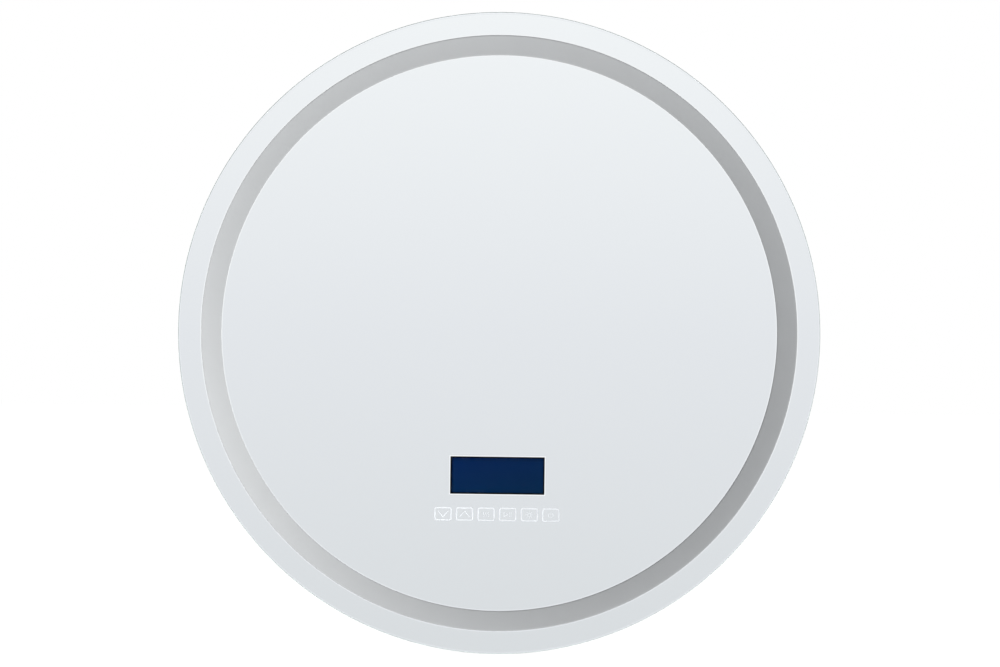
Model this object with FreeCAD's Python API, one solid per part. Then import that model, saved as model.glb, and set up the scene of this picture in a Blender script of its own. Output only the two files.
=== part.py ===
import FreeCAD, Part
import os
from math import atan2, cos, degrees, hypot, pi, radians, sin, sqrt, tan

# Round lighted bathroom mirror with a clock, touch keys, a demister and two small speakers.
# The pieces are laid out as the mirror is looked at: x to the right, y up and z out from the
# wall, with the origin at the mirror's centre on the wall. save() then stands them up, so that
# the part's own frame has +Z up, the wall at y = 0 and the glass facing -Y.

Vector = FreeCAD.Vector

# Glass
glass_diameter = 600.0
glass_thickness = 5.0
glass_arris = 1.0             # 45 degree flat ground on the front rim
overall_depth = 35.0          # wall to the front of the glass

# Silver on the back of the glass, and what is left bare of it
coat_thickness = 0.2
coat_inset = 1.0              # from the rim of the glass
band_margin = 21.0            # rim of the glass to the frosted light band
band_width = 19.0
film_thickness = 0.2          # white film behind the band
film_overlap = 1.0            # of the film behind the silver, at least
window_width = 88.3           # clear window over the clock
window_height = 35.1
window_drop = 133.3           # its centre below the mirror's centre
key_count = 6
key_pitch = 20.2
key_width = 15.9              # over the etched line of one touch key
key_height = 12.2
key_corner = 1.2              # cut off the line's outer corners
key_line = 0.9
key_drop = 169.7              # the row's centre below the mirror's centre

# Frame ring: an aluminium section rolled into a ring
frame_inset = 10.0            # glass overhang past the frame
frame_wall = 1.5
flange_thickness = 1.2
front_flange = 8.5            # over the wall, bonded to the glass
cover_flange = 13.5           # over the wall, carries the cover
frame_seam = 0.4              # where the rolled ends meet, at the bottom
tape_thickness = 1.3
tape_width = 6.0
tape_pads = 12
tape_pad_length = 60.0
splice_thickness = 1.6
splice_length = 60.0
splice_height = 9.0
splice_bond = 0.2             # adhesive between the splice and the wall

# Rear cover: a pressed steel sheet
cover_sheet = 1.2
cover_recess = 2.0            # rear edge of the frame to the cover
cover_clearance = 0.5
cover_rim = 16.0              # flat rim that lies on the frame's flange
dish_depth = 3.0              # the middle is pressed in by this
dish_angle = 45.0
screw_count = 6
screw_radius = 1.75
screw_length = 6.0
screw_head_radius = 3.4
screw_head_height = 1.6
screw_clearance = 0.25        # in the cover
thread_clearance = 0.05       # in the flange

# Light channel
strip_height = 8.0
strip_thickness = 0.4
strip_lift = 1.6              # above the cover's flange
strip_clearance = 0.1         # between its corners and the frame's wall
chip_count = 40
chip_width = 3.5
chip_height = 2.8
chip_depth = 0.8

# Hangers: keyhole plates with a closed pocket behind each
hanger_spacing = 300.0
hanger_height = 150.0         # entry holes above the mirror's centre
hanger_thickness = 1.5
keyhole_radius = 5.0
keyhole_slot = 5.0
keyhole_travel = 14.0
hanger_margin = 12.5          # plate beyond the keyhole
hanger_land = 6.0             # plate lying on the cover round the cover's window
plate_corner = 4.0
pocket_depth = 8.0
pocket_wall = 1.4
pocket_flange = 4.5
pocket_draft = 1.5

# Cable inlet: a hexagonal gland
cable_bore_radius = 3.9
gland_neck_radius = 6.0
gland_flats = 18.0            # across the head and the nut
gland_head = 3.0
gland_nut = 4.0
gland_tail = 2.0              # of the neck past the nut
gland_neck_sides = 12         # flats that keep it from turning
gland_fit = 0.1               # round the neck in the cover
inlet_x = -125.0
inlet_y = -6.0

# Terminal block and earth stud
terminal_width = 34.0
terminal_depth = 22.0
terminal_height = 15.0
terminal_ways = 3
terminal_mouth = 6.5
terminal_mouth_depth = 7.0
terminal_gap = 17.0           # inlet to terminal block
earth_gap = 24.0              # inlet to earth stud
earth_stud_radius = 2.0
earth_stud_length = 11.0
earth_nut_flats = 7.0
earth_nut_height = 3.2

# LED driver
driver_length = 150.0         # metal case, without its end caps
driver_width = 42.0
driver_height = 20.0
driver_y = 110.0
driver_edge = 3.0
driver_groove = 4.0
driver_groove_depth = 1.2
driver_grooves = 3
cap_length = 9.0
ear_length = 9.0
ear_thickness = 3.0
mains_lead_drop = 10.5        # middle of the driver down to the middle of its supply lead
led_lead_drop = 5.25          # and to the lead of the LED strip
ear_slot = 4.5

# Clock display behind its window
bezel_lip = 1.4               # black border that shows inside the window
bezel_thickness = 1.2
display_wall = 2.0
display_fit = 0.3             # round each piece in the housing
display_border = 6.0          # housing's inside past the window
display_depth = 12.5
lcd_thickness = 2.2
backlight_thickness = 3.4
board_thickness = 1.6
display_rib_spacing = 50.0    # ribs on the back of the housing

# Touch keys
guide_thickness = 2.0
guide_margin = 1.5            # light guide past the keys
pad_thickness = 0.3
pad_inset = 2.0
touch_margin = 3.0            # board past the keys
connector_height = 2.0

# Radio and clock control box
control_width = 92.0
control_depth = 56.0
control_height = 14.0
control_wall = 1.6
control_lid_thickness = 1.8
control_lip = 2.0
control_y = -45.0
control_corner = 4.0
control_board_lift = 3.0
control_rib_length = 28.0
control_rib_spacing = 46.0
screen_can_width = 29.0       # screened radio on the control board
screen_can_depth = 26.0
screen_can_x = -18.0
socket_row_length = 26.0
socket_row_x = 29.0
socket_width = 4.0

# Demister
demister_width = 300.0
demister_height = 220.0
demister_thickness = 0.5
demister_y = 50.0
demister_corner = 12.0
demister_terminal_length = 16.0
demister_terminal_width = 12.0
demister_terminal_height = 3.2
demister_terminal_corner = 1.0
demister_terminal_draft = 0.5
demister_terminal_inset = 90.0   # left edge of the film to its terminal

# Speakers, which sound through slots in the cover
speaker_x = 118.0
speaker_y = -120.0
speaker_width = 72.0
speaker_height = 34.0
speaker_corner = 5.0
mesh_thickness = 0.3
gasket_thickness = 2.5
gasket_width = 3.5
basket_sheet = 1.0
basket_land = 6.0             # flat land of the basket round the cone
basket_depth = 8.0
cone_gap = 0.3                # round the cone's rim
surround_width = 3.7
surround_thickness = 0.4
surround_lap = 2.0            # glued on the basket's land
cone_depth = 5.0
cone_sheet = 0.8
coil_across = 12.4
coil_wall = 0.6
coil_gap = 0.5                # round the coil in the magnet
coil_end_gap = 1.3            # end of the coil to the bottom of its gap at rest
magnet_width = 26.0
magnet_height = 24.0
magnet_thickness = 6.0
magnet_back = 1.5             # iron behind the voice coil's gap
slot_count = 4
slot_length = 50.0
slot_width = 3.0
slot_pitch = 6.0

# Leads
lead_width = 5.0              # flat twin lead
lead_thickness = 2.4
ribbon_width = 14.0
ribbon_thickness = 0.8
arc_share = 0.45              # of the shorter run beside a bend
lead_clearance = 0.5
led_lead_angle = 30.0         # where the lead meets the LED strip
clip_length = 8.0
clip_wall = 1.2
clip_foot = 4.0

# Levels above the wall and radii that follow from the sizes above
glass_radius = glass_diameter / 2
glass_back = overall_depth - glass_thickness
coat_back = glass_back - coat_thickness
frame_front = coat_back - tape_thickness
frame_radius = glass_radius - frame_inset
wall_radius = frame_radius - frame_wall
flange_back = cover_recess + cover_sheet
flange_top = flange_back + flange_thickness
panel_back = cover_recess + dish_depth
panel_face = panel_back + cover_sheet
band_outer = glass_radius - band_margin
band_inner = band_outer - band_width
strip_bottom = flange_top + strip_lift
strip_corner = wall_radius - strip_clearance
strip_face = strip_corner * cos(pi / chip_count) - strip_thickness
speaker_plate = panel_face + mesh_thickness + gasket_thickness
display_back = coat_back - display_depth
terminal_y = inlet_y + gland_flats / 2 + terminal_gap + terminal_depth / 2
hanger_width = 2 * (keyhole_radius + hanger_margin)
hanger_centre = hanger_height + (keyhole_travel + keyhole_slot / 2 - keyhole_radius) / 2
hanger_length = keyhole_travel + keyhole_slot / 2 + keyhole_radius + 2 * hanger_margin
driver_end = driver_length / 2 + cap_length
led_lead_y = driver_y - led_lead_drop
demister_terminal_x = demister_terminal_inset - demister_width / 2
cone_foot = speaker_plate - surround_thickness + cone_depth
coil_gap_end = speaker_plate + basket_depth + magnet_thickness - magnet_back


def save(name, shape):
    """Stand a piece up in the part's own frame and write it."""
    stood = shape.copy()
    stood.rotate(Vector(0, 0, 0), Vector(1, 0, 0), 90)
    stood.exportStep("parts/" + name + ".step")


def disc(radius, low, high, x=0.0, y=0.0):
    return Part.makeCylinder(radius, high - low, Vector(x, y, low))


def ring(inner, outer, low, high):
    return disc(outer, low, high).cut(disc(inner, low, high))


def outline_face(points):
    return Part.Face(Part.makePolygon(points + points[:1]))


def turned(profile):
    """Solid of revolution about the mirror's axis, from (radius, height) points."""
    face = outline_face([Vector(radius, 0, height) for radius, height in profile])
    return face.revolve(Vector(0, 0, 0), Vector(0, 0, 1), 360)


def block(width, height, low, high, x=0.0, y=0.0):
    corner = Vector(x - width / 2, y - height / 2, low)
    return Part.makeBox(width, height, high - low, corner)


def cut_corner_points(width, height, corner, level, x=0.0, y=0.0):
    """Corners of a rectangle that has its own corners cut off at 45 degrees."""
    right, top = width / 2, height / 2
    quarter = [(right, top - corner), (right - corner, top)]
    upper = quarter + [(-a, b) for a, b in reversed(quarter)]
    lower = [(-a, -b) for a, b in upper]
    return [Vector(x + a, y + b, level) for a, b in upper + lower]


def cut_corner_block(width, height, corner, low, high, x=0.0, y=0.0):
    face = outline_face(cut_corner_points(width, height, corner, low, x, y))
    return face.extrude(Vector(0, 0, high - low))


def tapered_block(low_size, high_size, low, high, x=0.0, y=0.0):
    """Flat-sided solid between two cut-corner outlines, each (width, height, corner)."""
    foot = cut_corner_points(*low_size, low, x, y)
    head = cut_corner_points(*high_size, high, x, y)
    after = list(range(1, len(foot))) + [0]
    sides = [
        outline_face([foot[here], foot[there], head[there], head[here]])
        for here, there in enumerate(after)
    ]
    return Part.Solid(Part.makeShell(sides + [outline_face(foot), outline_face(head)]))


def eight_sided(across, low, high, x, y):
    """Upright bar, measured across its flats; it stands for a small round one."""
    return cut_corner_block(across, across, across * (1 - 1 / sqrt(2)), low, high, x, y)


def many_sided(sides, corner_radius, low, high, x=0.0, y=0.0):
    """Upright bar with the given number of flat sides."""
    points = [Vector(x + a, y + b, low) for a, b, angle in around(sides, corner_radius)]
    return outline_face(points).extrude(Vector(0, 0, high - low))


def seam_cut(gap):
    """Slit through a ring at the bottom of the mirror."""
    return block(gap, glass_radius, 0, overall_depth, 0, -glass_radius / 2 - band_inner)


def around(count, radius, first=0.0):
    """Places (x, y, angle in degrees) spread evenly round the mirror."""
    for number in range(count):
        angle = first + 360.0 * number / count
        yield radius * cos(radians(angle)), radius * sin(radians(angle)), angle


# ---------------------------------------------------------------- glass and silver

def make_glass():
    profile = [
        (0, glass_back),
        (glass_radius, glass_back),
        (glass_radius, overall_depth - glass_arris),
        (glass_radius - glass_arris, overall_depth),
        (0, overall_depth),
    ]
    return turned(profile)


def key_places():
    """Centres of the touch keys, left to right."""
    first = -key_pitch * (key_count - 1) / 2
    return [first + key_pitch * number for number in range(key_count)]


def make_silver_centre():
    coat = disc(band_inner, coat_back, glass_back)
    window = block(window_width, window_height, coat_back, glass_back, 0, -window_drop)
    keys = [
        cut_corner_block(key_width, key_height, key_corner, coat_back, glass_back, x, -key_drop)
        for x in key_places()
    ]
    return coat.cut([window] + keys)


def make_silver_rim():
    """Silver outside the band."""
    return ring(band_outer, glass_radius - coat_inset, coat_back, glass_back)


def make_band_diffuser():
    """White film behind the bare band, with one straight side for each LED."""
    back = coat_back - film_thickness
    outer_corner = (band_outer + film_overlap) / cos(pi / chip_count)
    outer = many_sided(chip_count, outer_corner, back, coat_back)
    inner = many_sided(chip_count, band_inner - film_overlap, back, coat_back)
    return outer.cut(inner)


def make_key_islands():
    """Silver left inside the etched line of each key."""
    width = key_width - 2 * key_line
    height = key_height - 2 * key_line
    corner = key_corner - key_line * (2 - sqrt(2))
    return Part.makeCompound([
        cut_corner_block(width, height, corner, coat_back, glass_back, x, -key_drop)
        for x in key_places()
    ])


# ---------------------------------------------------------------- frame

def make_frame():
    """Rolled ring: outer wall, front flange under the glass and a flange for the cover."""
    front_edge = frame_radius - front_flange
    cover_edge = frame_radius - cover_flange
    profile = [
        (frame_radius, 0),
        (frame_radius, frame_front),
        (front_edge, frame_front),
        (front_edge, frame_front - flange_thickness),
        (wall_radius, frame_front - flange_thickness),
        (wall_radius, flange_top),
        (cover_edge, flange_top),
        (cover_edge, flange_back),
        (wall_radius, flange_back),
        (wall_radius, 0),
    ]
    holes = screw_bars(screw_radius + thread_clearance, flange_back, flange_top)
    return turned(profile).cut(holes + [seam_cut(frame_seam)])


def make_splice():
    """Plate behind the seam, bent to the frame and bonded between the strip and the flange."""
    high = frame_front - flange_thickness - splice_bond
    low = high - splice_height
    outer = wall_radius - splice_bond
    span = block(splice_length, 2 * splice_length, low, high, 0, -wall_radius)
    return ring(outer - splice_thickness, outer, low, high).common(span)


def make_tape():
    """Foam bonding pads between the frame's front flange and the silver."""
    middle = frame_radius - front_flange / 2
    pads = []
    for x, y, angle in around(tape_pads, middle, 180.0 / tape_pads):
        pad = block(tape_width, tape_pad_length, frame_front, coat_back)
        pad.rotate(Vector(0, 0, 0), Vector(0, 0, 1), angle)
        pad.translate(Vector(x, y, 0))
        pads.append(pad)
    return Part.makeCompound(pads)


# ---------------------------------------------------------------- rear cover

def screw_circle():
    """Radius on which the cover's screws stand: the middle of the flange inside the wall."""
    return (wall_radius + frame_radius - cover_flange) / 2


def cover_radius():
    return wall_radius - cover_clearance


def hanger_places():
    return [("left", -hanger_spacing / 2), ("right", hanger_spacing / 2)]


def speaker_places():
    return [("left", -speaker_x), ("right", speaker_x)]


def hanger_window():
    """Width and length of the cover's cut-out behind a hanger plate."""
    return hanger_width - 2 * hanger_land, hanger_length - 2 * hanger_land


def screw_bars(radius, low, high):
    """One upright bar on the place of each cover screw."""
    return [
        eight_sided(2 * radius, low, high, x, y)
        for x, y, angle in around(screw_count, screw_circle())
    ]


def pointed_slot(length, width, low, high, x, y):
    end, shoulder, half = length / 2, (length - width) / 2, width / 2
    outline = [(end, 0), (shoulder, half), (-shoulder, half),
               (-end, 0), (-shoulder, -half), (shoulder, -half)]
    face = outline_face([Vector(x + a, y + b, low) for a, b in outline])
    return face.extrude(Vector(0, 0, high - low))


def speaker_slots(x, low, high):
    first = speaker_y - slot_pitch * (slot_count - 1) / 2
    return [
        pointed_slot(slot_length, slot_width, low, high, x, first + slot_pitch * number)
        for number in range(slot_count)
    ]


def make_cover():
    """Pressed sheet: flat rim, sloping step and a middle that is set in from the wall."""
    outer = cover_radius()
    step_foot = outer - cover_rim
    step_head = step_foot - dish_depth / tan(radians(dish_angle))
    shift = cover_sheet * tan(radians(dish_angle / 2))
    profile = [
        (0, panel_back),
        (step_head, panel_back),
        (step_foot, cover_recess),
        (outer, cover_recess),
        (outer, flange_back),
        (step_foot + shift, flange_back),
        (step_head + shift, panel_face),
        (0, panel_face),
    ]
    cuts = screw_bars(screw_radius + screw_clearance, cover_recess, flange_back)
    width, length = hanger_window()
    for side, x in hanger_places():
        cuts.append(cut_corner_block(width, length, plate_corner, panel_back, panel_face,
                                     x, hanger_centre))
    for side, x in speaker_places():
        cuts += speaker_slots(x, panel_back, panel_face)
    cuts.append(gland_neck(gland_neck_radius + gland_fit, panel_back, panel_face))
    cuts.append(eight_sided(2 * earth_stud_radius, panel_back, panel_face,
                            inlet_x + earth_gap, inlet_y))
    return turned(profile).cut(cuts)


def make_cover_screws():
    """Pan-head screws through the cover's rim into the frame's flange."""
    heads = screw_bars(screw_head_radius, cover_recess - screw_head_height, cover_recess)
    shanks = screw_bars(screw_radius, cover_recess, cover_recess + screw_length)
    return Part.makeCompound([head.fuse(shank) for head, shank in zip(heads, shanks)])


# ---------------------------------------------------------------- hangers

def make_hanger_plate(x):
    """Steel plate welded to the back of the cover, with a keyhole for a wall screw."""
    low, high = panel_back - hanger_thickness, panel_back
    plate = cut_corner_block(hanger_width, hanger_length, plate_corner, low, high,
                             x, hanger_centre)
    entry = disc(keyhole_radius, low, high, x, hanger_height)
    slot = block(keyhole_slot, keyhole_travel, low, high, x, hanger_height + keyhole_travel / 2)
    seat = disc(keyhole_slot / 2, low, high, x, hanger_height + keyhole_travel)
    return plate.cut(entry.fuse([slot, seat]))


def make_hanger_pocket(x):
    """Moulded tub inside the cover that keeps the screw's head off the wiring."""
    width, length = hanger_window()
    floor = panel_face + pocket_depth
    top = floor + pocket_wall
    mouth = (width, length, plate_corner)
    inner_top = (width - 2 * pocket_draft, length - 2 * pocket_draft, plate_corner)
    outer_mouth = (width + 2 * pocket_wall, length + 2 * pocket_wall, plate_corner)
    outer_top = (width + 2 * pocket_wall - 2 * pocket_draft,
                 length + 2 * pocket_wall - 2 * pocket_draft, plate_corner)
    flange = cut_corner_block(width + 2 * pocket_flange, length + 2 * pocket_flange,
                              plate_corner, panel_face, panel_face + pocket_wall,
                              x, hanger_centre)
    tub = tapered_block(outer_mouth, outer_top, panel_face, top, x, hanger_centre)
    hollow = tapered_block(mouth, inner_top, panel_face, floor, x, hanger_centre)
    return flange.fuse(tub).cut(hollow).removeSplitter()


# ---------------------------------------------------------------- inlet and terminals

def gland_neck(radius, low, high):
    return many_sided(gland_neck_sides, radius, low, high, inlet_x, inlet_y)


def make_cable_gland():
    """Moulded gland in the cover for the supply cable, with its lock nut done up inside."""
    corner_radius = gland_flats / sqrt(3)
    low = panel_back - gland_head
    high = panel_face + gland_nut + gland_tail
    head = many_sided(6, corner_radius, low, panel_back, inlet_x, inlet_y)
    nut = many_sided(6, corner_radius, panel_face, panel_face + gland_nut, inlet_x, inlet_y)
    neck = gland_neck(gland_neck_radius, panel_back, high)
    bore = disc(cable_bore_radius, low, high, inlet_x, inlet_y)
    return head.fuse([neck, nut]).cut(bore)


def make_terminal_block():
    """Moulded block with a wire mouth on each side of every way and raised ribs between."""
    top = panel_face + terminal_height
    body = block(terminal_width, terminal_depth, panel_face, top, inlet_x, terminal_y)
    pitch = terminal_width / terminal_ways
    cuts = []
    for number in range(terminal_ways):
        x = inlet_x - terminal_width / 2 + pitch * (number + 0.5)
        low = panel_face + lead_thickness + lead_clearance
        for side in (-1, 1):
            y = terminal_y + side * (terminal_depth - terminal_mouth_depth) / 2
            cuts.append(block(terminal_mouth, terminal_mouth_depth, low, low + terminal_mouth,
                              x, y))
        cuts.append(block(terminal_mouth, terminal_mouth, top - terminal_mouth / 2, top,
                          x, terminal_y))
    return body.cut(cuts)


def make_earth_stud():
    """Stud pressed into the cover, with its nut."""
    x = inlet_x + earth_gap
    stud = eight_sided(2 * earth_stud_radius, panel_back, panel_face + earth_stud_length,
                       x, inlet_y)
    nut = many_sided(6, earth_nut_flats / sqrt(3), panel_face, panel_face + earth_nut_height,
                     x, inlet_y)
    return stud.fuse(nut)


# ---------------------------------------------------------------- LED driver

def make_driver_case():
    """Extruded metal case with its long edges cut off and cooling grooves along the top."""
    half, top = driver_width / 2, panel_face + driver_height
    outline = [
        (-half, panel_face), (half, panel_face),
        (half, top - driver_edge), (half - driver_edge, top),
        (-half + driver_edge, top), (-half, top - driver_edge),
    ]
    face = outline_face([Vector(-driver_length / 2, driver_y + a, b) for a, b in outline])
    case = face.extrude(Vector(driver_length, 0, 0))
    pitch = (driver_width - 2 * driver_edge) / driver_grooves
    grooves = [
        block(driver_length, driver_groove, top - driver_groove_depth, top,
              0, driver_y + pitch * (number - (driver_grooves - 1) / 2))
        for number in range(driver_grooves)
    ]
    return case.cut(grooves)


def make_driver_cap(side):
    """Plastic end cap with a slotted ear that lies on the cover; side is -1 or 1."""
    middle = side * (driver_length + cap_length) / 2
    cap = block(cap_length, driver_width, panel_face, panel_face + driver_height,
                middle, driver_y)
    ear_x = side * (driver_end + ear_length / 2)
    ear_y = driver_y + driver_width / 4
    ear = block(ear_length, driver_width / 2, panel_face, panel_face + ear_thickness,
                ear_x, ear_y)
    slot = block(ear_length / 2, ear_slot, panel_face, panel_face + ear_thickness,
                 side * (driver_end + ear_length * 3 / 4), ear_y)
    return cap.fuse(ear).cut(slot).removeSplitter()


# ---------------------------------------------------------------- light channel

def make_led_strip():
    """Strip stuck round the frame's wall, with one flat behind each LED."""
    high = strip_bottom + strip_height
    inner_corner = strip_face / cos(pi / chip_count)
    outer = many_sided(chip_count, strip_corner, strip_bottom, high)
    inner = many_sided(chip_count, inner_corner, strip_bottom, high)
    return outer.cut([inner, seam_cut(chip_width)])


def make_led_chips():
    """LEDs on the strip, facing the middle of the mirror."""
    middle = strip_bottom + strip_height / 2
    chips = []
    for x, y, angle in around(chip_count, 1.0, 180.0 / chip_count):
        chip = block(chip_depth, chip_width, middle - chip_height / 2, middle + chip_height / 2,
                     strip_face - chip_depth / 2)
        chip.rotate(Vector(0, 0, 0), Vector(0, 0, 1), angle)
        chips.append(chip)
    return Part.makeCompound(chips)


# ---------------------------------------------------------------- clock display

def display_inside():
    """Width and height inside the display's housing."""
    return window_width + 2 * display_border, window_height + 2 * display_border


def display_plate(low, high):
    """Plate that fills the housing from side to side, less its clearance."""
    width, height = display_inside()
    return block(width - 2 * display_fit, height - 2 * display_fit, low, high, 0, -window_drop)


def display_levels():
    """Backs of the bezel, the panel, the backlight and the board, front to back."""
    bezel = coat_back - bezel_thickness
    panel = bezel - lcd_thickness
    backlight = panel - backlight_thickness
    board = backlight - board_thickness
    return bezel, panel, backlight, board


def make_bezel():
    back = display_levels()[0]
    opening = block(window_width - 2 * bezel_lip, window_height - 2 * bezel_lip, back, coat_back,
                    0, -window_drop)
    return display_plate(back, coat_back).cut(opening)


def make_lcd_panel():
    front, back = display_levels()[0:2]
    return display_plate(back, front)


def make_backlight():
    """Light box behind the panel, stepped in where its own LEDs sit."""
    front, back = display_levels()[1:3]
    plate = display_plate(back, front)
    width, height = display_inside()
    step = block(display_border, height / 2, back, (front + back) / 2,
                 (width - display_border) / 2 - display_fit, -window_drop)
    return plate.cut(step)


def make_display_board():
    """Board across the housing, with the ribbon sockets along its two long edges."""
    front, back = display_levels()[2:4]
    height = display_inside()[1] - 2 * display_fit
    socket_y = (height - socket_width) / 2
    sockets = [
        block(ribbon_width, socket_width, back - connector_height, back,
              0, -window_drop + side * socket_y)
        for side in (-1, 1)
    ]
    return display_plate(back, front).fuse(sockets).removeSplitter()


def make_display_housing():
    """Open tray taped to the glass, with a mouth for each ribbon in its long walls."""
    width, height = display_inside()
    outside = block(width + 2 * display_wall, height + 2 * display_wall, display_back, coat_back,
                    0, -window_drop)
    inside = block(width, height, display_back + display_wall, coat_back, 0, -window_drop)
    mouth_width = ribbon_width + 2 * lead_clearance
    level = ribbon_level()
    mouth = block(mouth_width, height + 4 * display_wall,
                  level - ribbon_thickness / 2 - lead_clearance,
                  level + ribbon_thickness / 2 + lead_clearance, 0, -window_drop)
    ribs = [
        block(display_wall, height + 2 * display_wall, display_back - display_wall, display_back,
              side * display_rib_spacing / 2, -window_drop)
        for side in (-1, 1)
    ]
    return outside.cut(inside).cut(mouth).fuse(ribs).removeSplitter()


def ribbon_level():
    """Height of the ribbons where they enter the display's housing: level with the sockets."""
    return display_levels()[3] - connector_height / 2


# ---------------------------------------------------------------- touch keys

def key_row(margin):
    """Width and height that cover the row of keys with a margin."""
    width = key_pitch * (key_count - 1) + key_width + 2 * margin
    return width, key_height + 2 * margin


def make_light_guide():
    """Opal bar that lights the etched lines of the keys."""
    width, height = key_row(guide_margin)
    return block(width, height, coat_back - guide_thickness, coat_back, 0, -key_drop)


def make_touch_pads():
    """Copper sensor pads, one behind each key."""
    high = coat_back - guide_thickness
    return Part.makeCompound([
        block(key_width - 2 * pad_inset, key_height - 2 * pad_inset, high - pad_thickness, high,
              x, -key_drop)
        for x in key_places()
    ])


def touch_board_back():
    return coat_back - guide_thickness - pad_thickness - board_thickness


def make_touch_board():
    """Sensor board with its ribbon socket at the back."""
    back = touch_board_back()
    width, height = key_row(touch_margin)
    board = block(width, height, back, back + board_thickness, 0, -key_drop)
    socket = block(ribbon_width + connector_height, key_height / 2, back - connector_height,
                   back, 0, -key_drop)
    return board.fuse(socket).removeSplitter()


# ---------------------------------------------------------------- control box

def make_control_box():
    top = panel_face + control_height
    outside = cut_corner_block(control_width, control_depth, control_corner, panel_face, top,
                               0, control_y)
    inside = cut_corner_block(control_width - 2 * control_wall, control_depth - 2 * control_wall,
                              control_corner, panel_face + control_wall, top, 0, control_y)
    low = panel_face + control_wall
    ribs = [
        block(control_wall, control_rib_length, low, low + control_board_lift,
              side * control_rib_spacing / 2, control_y)
        for side in (-1, 1)
    ]
    return outside.cut(inside).fuse(ribs).removeSplitter()


def make_control_lid():
    """Lid with a lip that drops inside the box's walls."""
    low = panel_face + control_height
    lid = cut_corner_block(control_width, control_depth, control_corner, low,
                           low + control_lid_thickness, 0, control_y)
    inset = 2 * (control_wall + display_fit)
    lip = cut_corner_block(control_width - inset, control_depth - inset, control_corner,
                           low - control_lip, low, 0, control_y)
    return lid.fuse(lip).removeSplitter()


def make_control_board():
    """Radio board on the box's ribs, with a screening can and a row of sockets."""
    low = panel_face + control_wall + control_board_lift
    inset = 2 * (control_wall + display_fit)
    board = cut_corner_block(control_width - inset, control_depth - inset, control_corner,
                             low, low + board_thickness, 0, control_y)
    top = low + board_thickness
    can = block(screen_can_width, screen_can_depth, top, top + connector_height,
                screen_can_x, control_y)
    sockets = block(socket_width, socket_row_length, top, top + connector_height,
                    socket_row_x, control_y)
    return board.fuse([can, sockets]).removeSplitter()


# ---------------------------------------------------------------- demister

def make_demister():
    """Heating film stuck to the back of the silver."""
    return cut_corner_block(demister_width, demister_height, demister_corner,
                            coat_back - demister_thickness, coat_back, 0, demister_y)


def make_demister_terminal():
    """Moulded cover over the film's crimped lead ends."""
    high = coat_back - demister_thickness
    low = high - demister_terminal_height
    size = (demister_terminal_length, demister_terminal_width, demister_terminal_corner)
    shrunk = (demister_terminal_length - 2 * demister_terminal_draft,
              demister_terminal_width - 2 * demister_terminal_draft, demister_terminal_corner)
    return tapered_block(shrunk, size, low, high,
                         demister_terminal_x + demister_terminal_length / 2, terminal_y)


# ---------------------------------------------------------------- speakers

def speaker_opening():
    """Width and height of the basket's opening."""
    return speaker_width - 2 * basket_land, speaker_height - 2 * basket_land


def cone_size():
    """Width and height of the cone's rim: the surround bridges it to the basket's land."""
    width, height = speaker_opening()
    bridge = 2 * (surround_width - surround_lap + cone_gap)
    return width - bridge, height - bridge


def make_speaker_mesh(x):
    return cut_corner_block(speaker_width, speaker_height, speaker_corner, panel_face,
                            panel_face + mesh_thickness, x, speaker_y)


def make_speaker_gasket(x):
    low = panel_face + mesh_thickness
    outer = cut_corner_block(speaker_width, speaker_height, speaker_corner, low, speaker_plate,
                             x, speaker_y)
    inner = cut_corner_block(speaker_width - 2 * gasket_width, speaker_height - 2 * gasket_width,
                             speaker_corner, low, speaker_plate, x, speaker_y)
    return outer.cut(inner)


def make_speaker_basket(x):
    """Pressed basket: flat land, tapered cup with two side windows, and a hole for the coil."""
    width, height = speaker_opening()
    top = speaker_plate + basket_depth
    mouth = (width + 2 * basket_sheet, height + 2 * basket_sheet, speaker_corner)
    throat = (magnet_width + 2 * basket_sheet, magnet_height, speaker_corner)
    land = cut_corner_block(speaker_width, speaker_height, speaker_corner, speaker_plate,
                            speaker_plate + basket_sheet, x, speaker_y)
    cup = tapered_block(mouth, throat, speaker_plate, top, x, speaker_y)
    hollow = cup.copy()
    hollow.translate(Vector(0, 0, -basket_sheet))
    opening = cut_corner_block(width, height, speaker_corner, speaker_plate,
                               speaker_plate + basket_sheet, x, speaker_y)
    window = block(magnet_width, 2 * speaker_height, speaker_plate + 2 * basket_sheet,
                   top - 2 * basket_sheet, x, speaker_y)
    throat_hole = eight_sided(coil_across + 2 * coil_gap, speaker_plate, top, x, speaker_y)
    shell = cup.cut(hollow).fuse(land.cut(opening))
    return shell.cut([window, throat_hole])


def make_speaker_surround(x):
    """Rubber ring glued on the basket's land, with its roll reaching in to the cone's rim."""
    width, height = cone_size()
    reach = 2 * (surround_width + cone_gap)
    low = speaker_plate - surround_thickness
    outer = cut_corner_block(width + reach, height + reach, speaker_corner, low, speaker_plate,
                             x, speaker_y)
    inner = cut_corner_block(width + 2 * cone_gap, height + 2 * cone_gap, speaker_corner, low,
                             speaker_plate, x, speaker_y)
    return outer.cut(inner)


def make_speaker_cone(x):
    """Oblong paper cone with a flat bottom that closes the voice coil."""
    width, height = cone_size()
    low = speaker_plate - surround_thickness
    rim = (width, height, speaker_corner)
    foot = (coil_across + 2 * cone_sheet, coil_across, coil_across * (1 - 1 / sqrt(2)))
    solid = tapered_block(rim, foot, low, low + cone_depth, x, speaker_y)
    hollow = solid.copy()
    hollow.translate(Vector(0, 0, -cone_sheet))
    return solid.cut(hollow)


def make_voice_coil(x):
    """Coil on its former, behind the cone's bottom."""
    high = coil_gap_end - coil_end_gap
    outer = eight_sided(coil_across, cone_foot, high, x, speaker_y)
    inner = eight_sided(coil_across - 2 * coil_wall, cone_foot, high, x, speaker_y)
    return outer.cut(inner)


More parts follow.
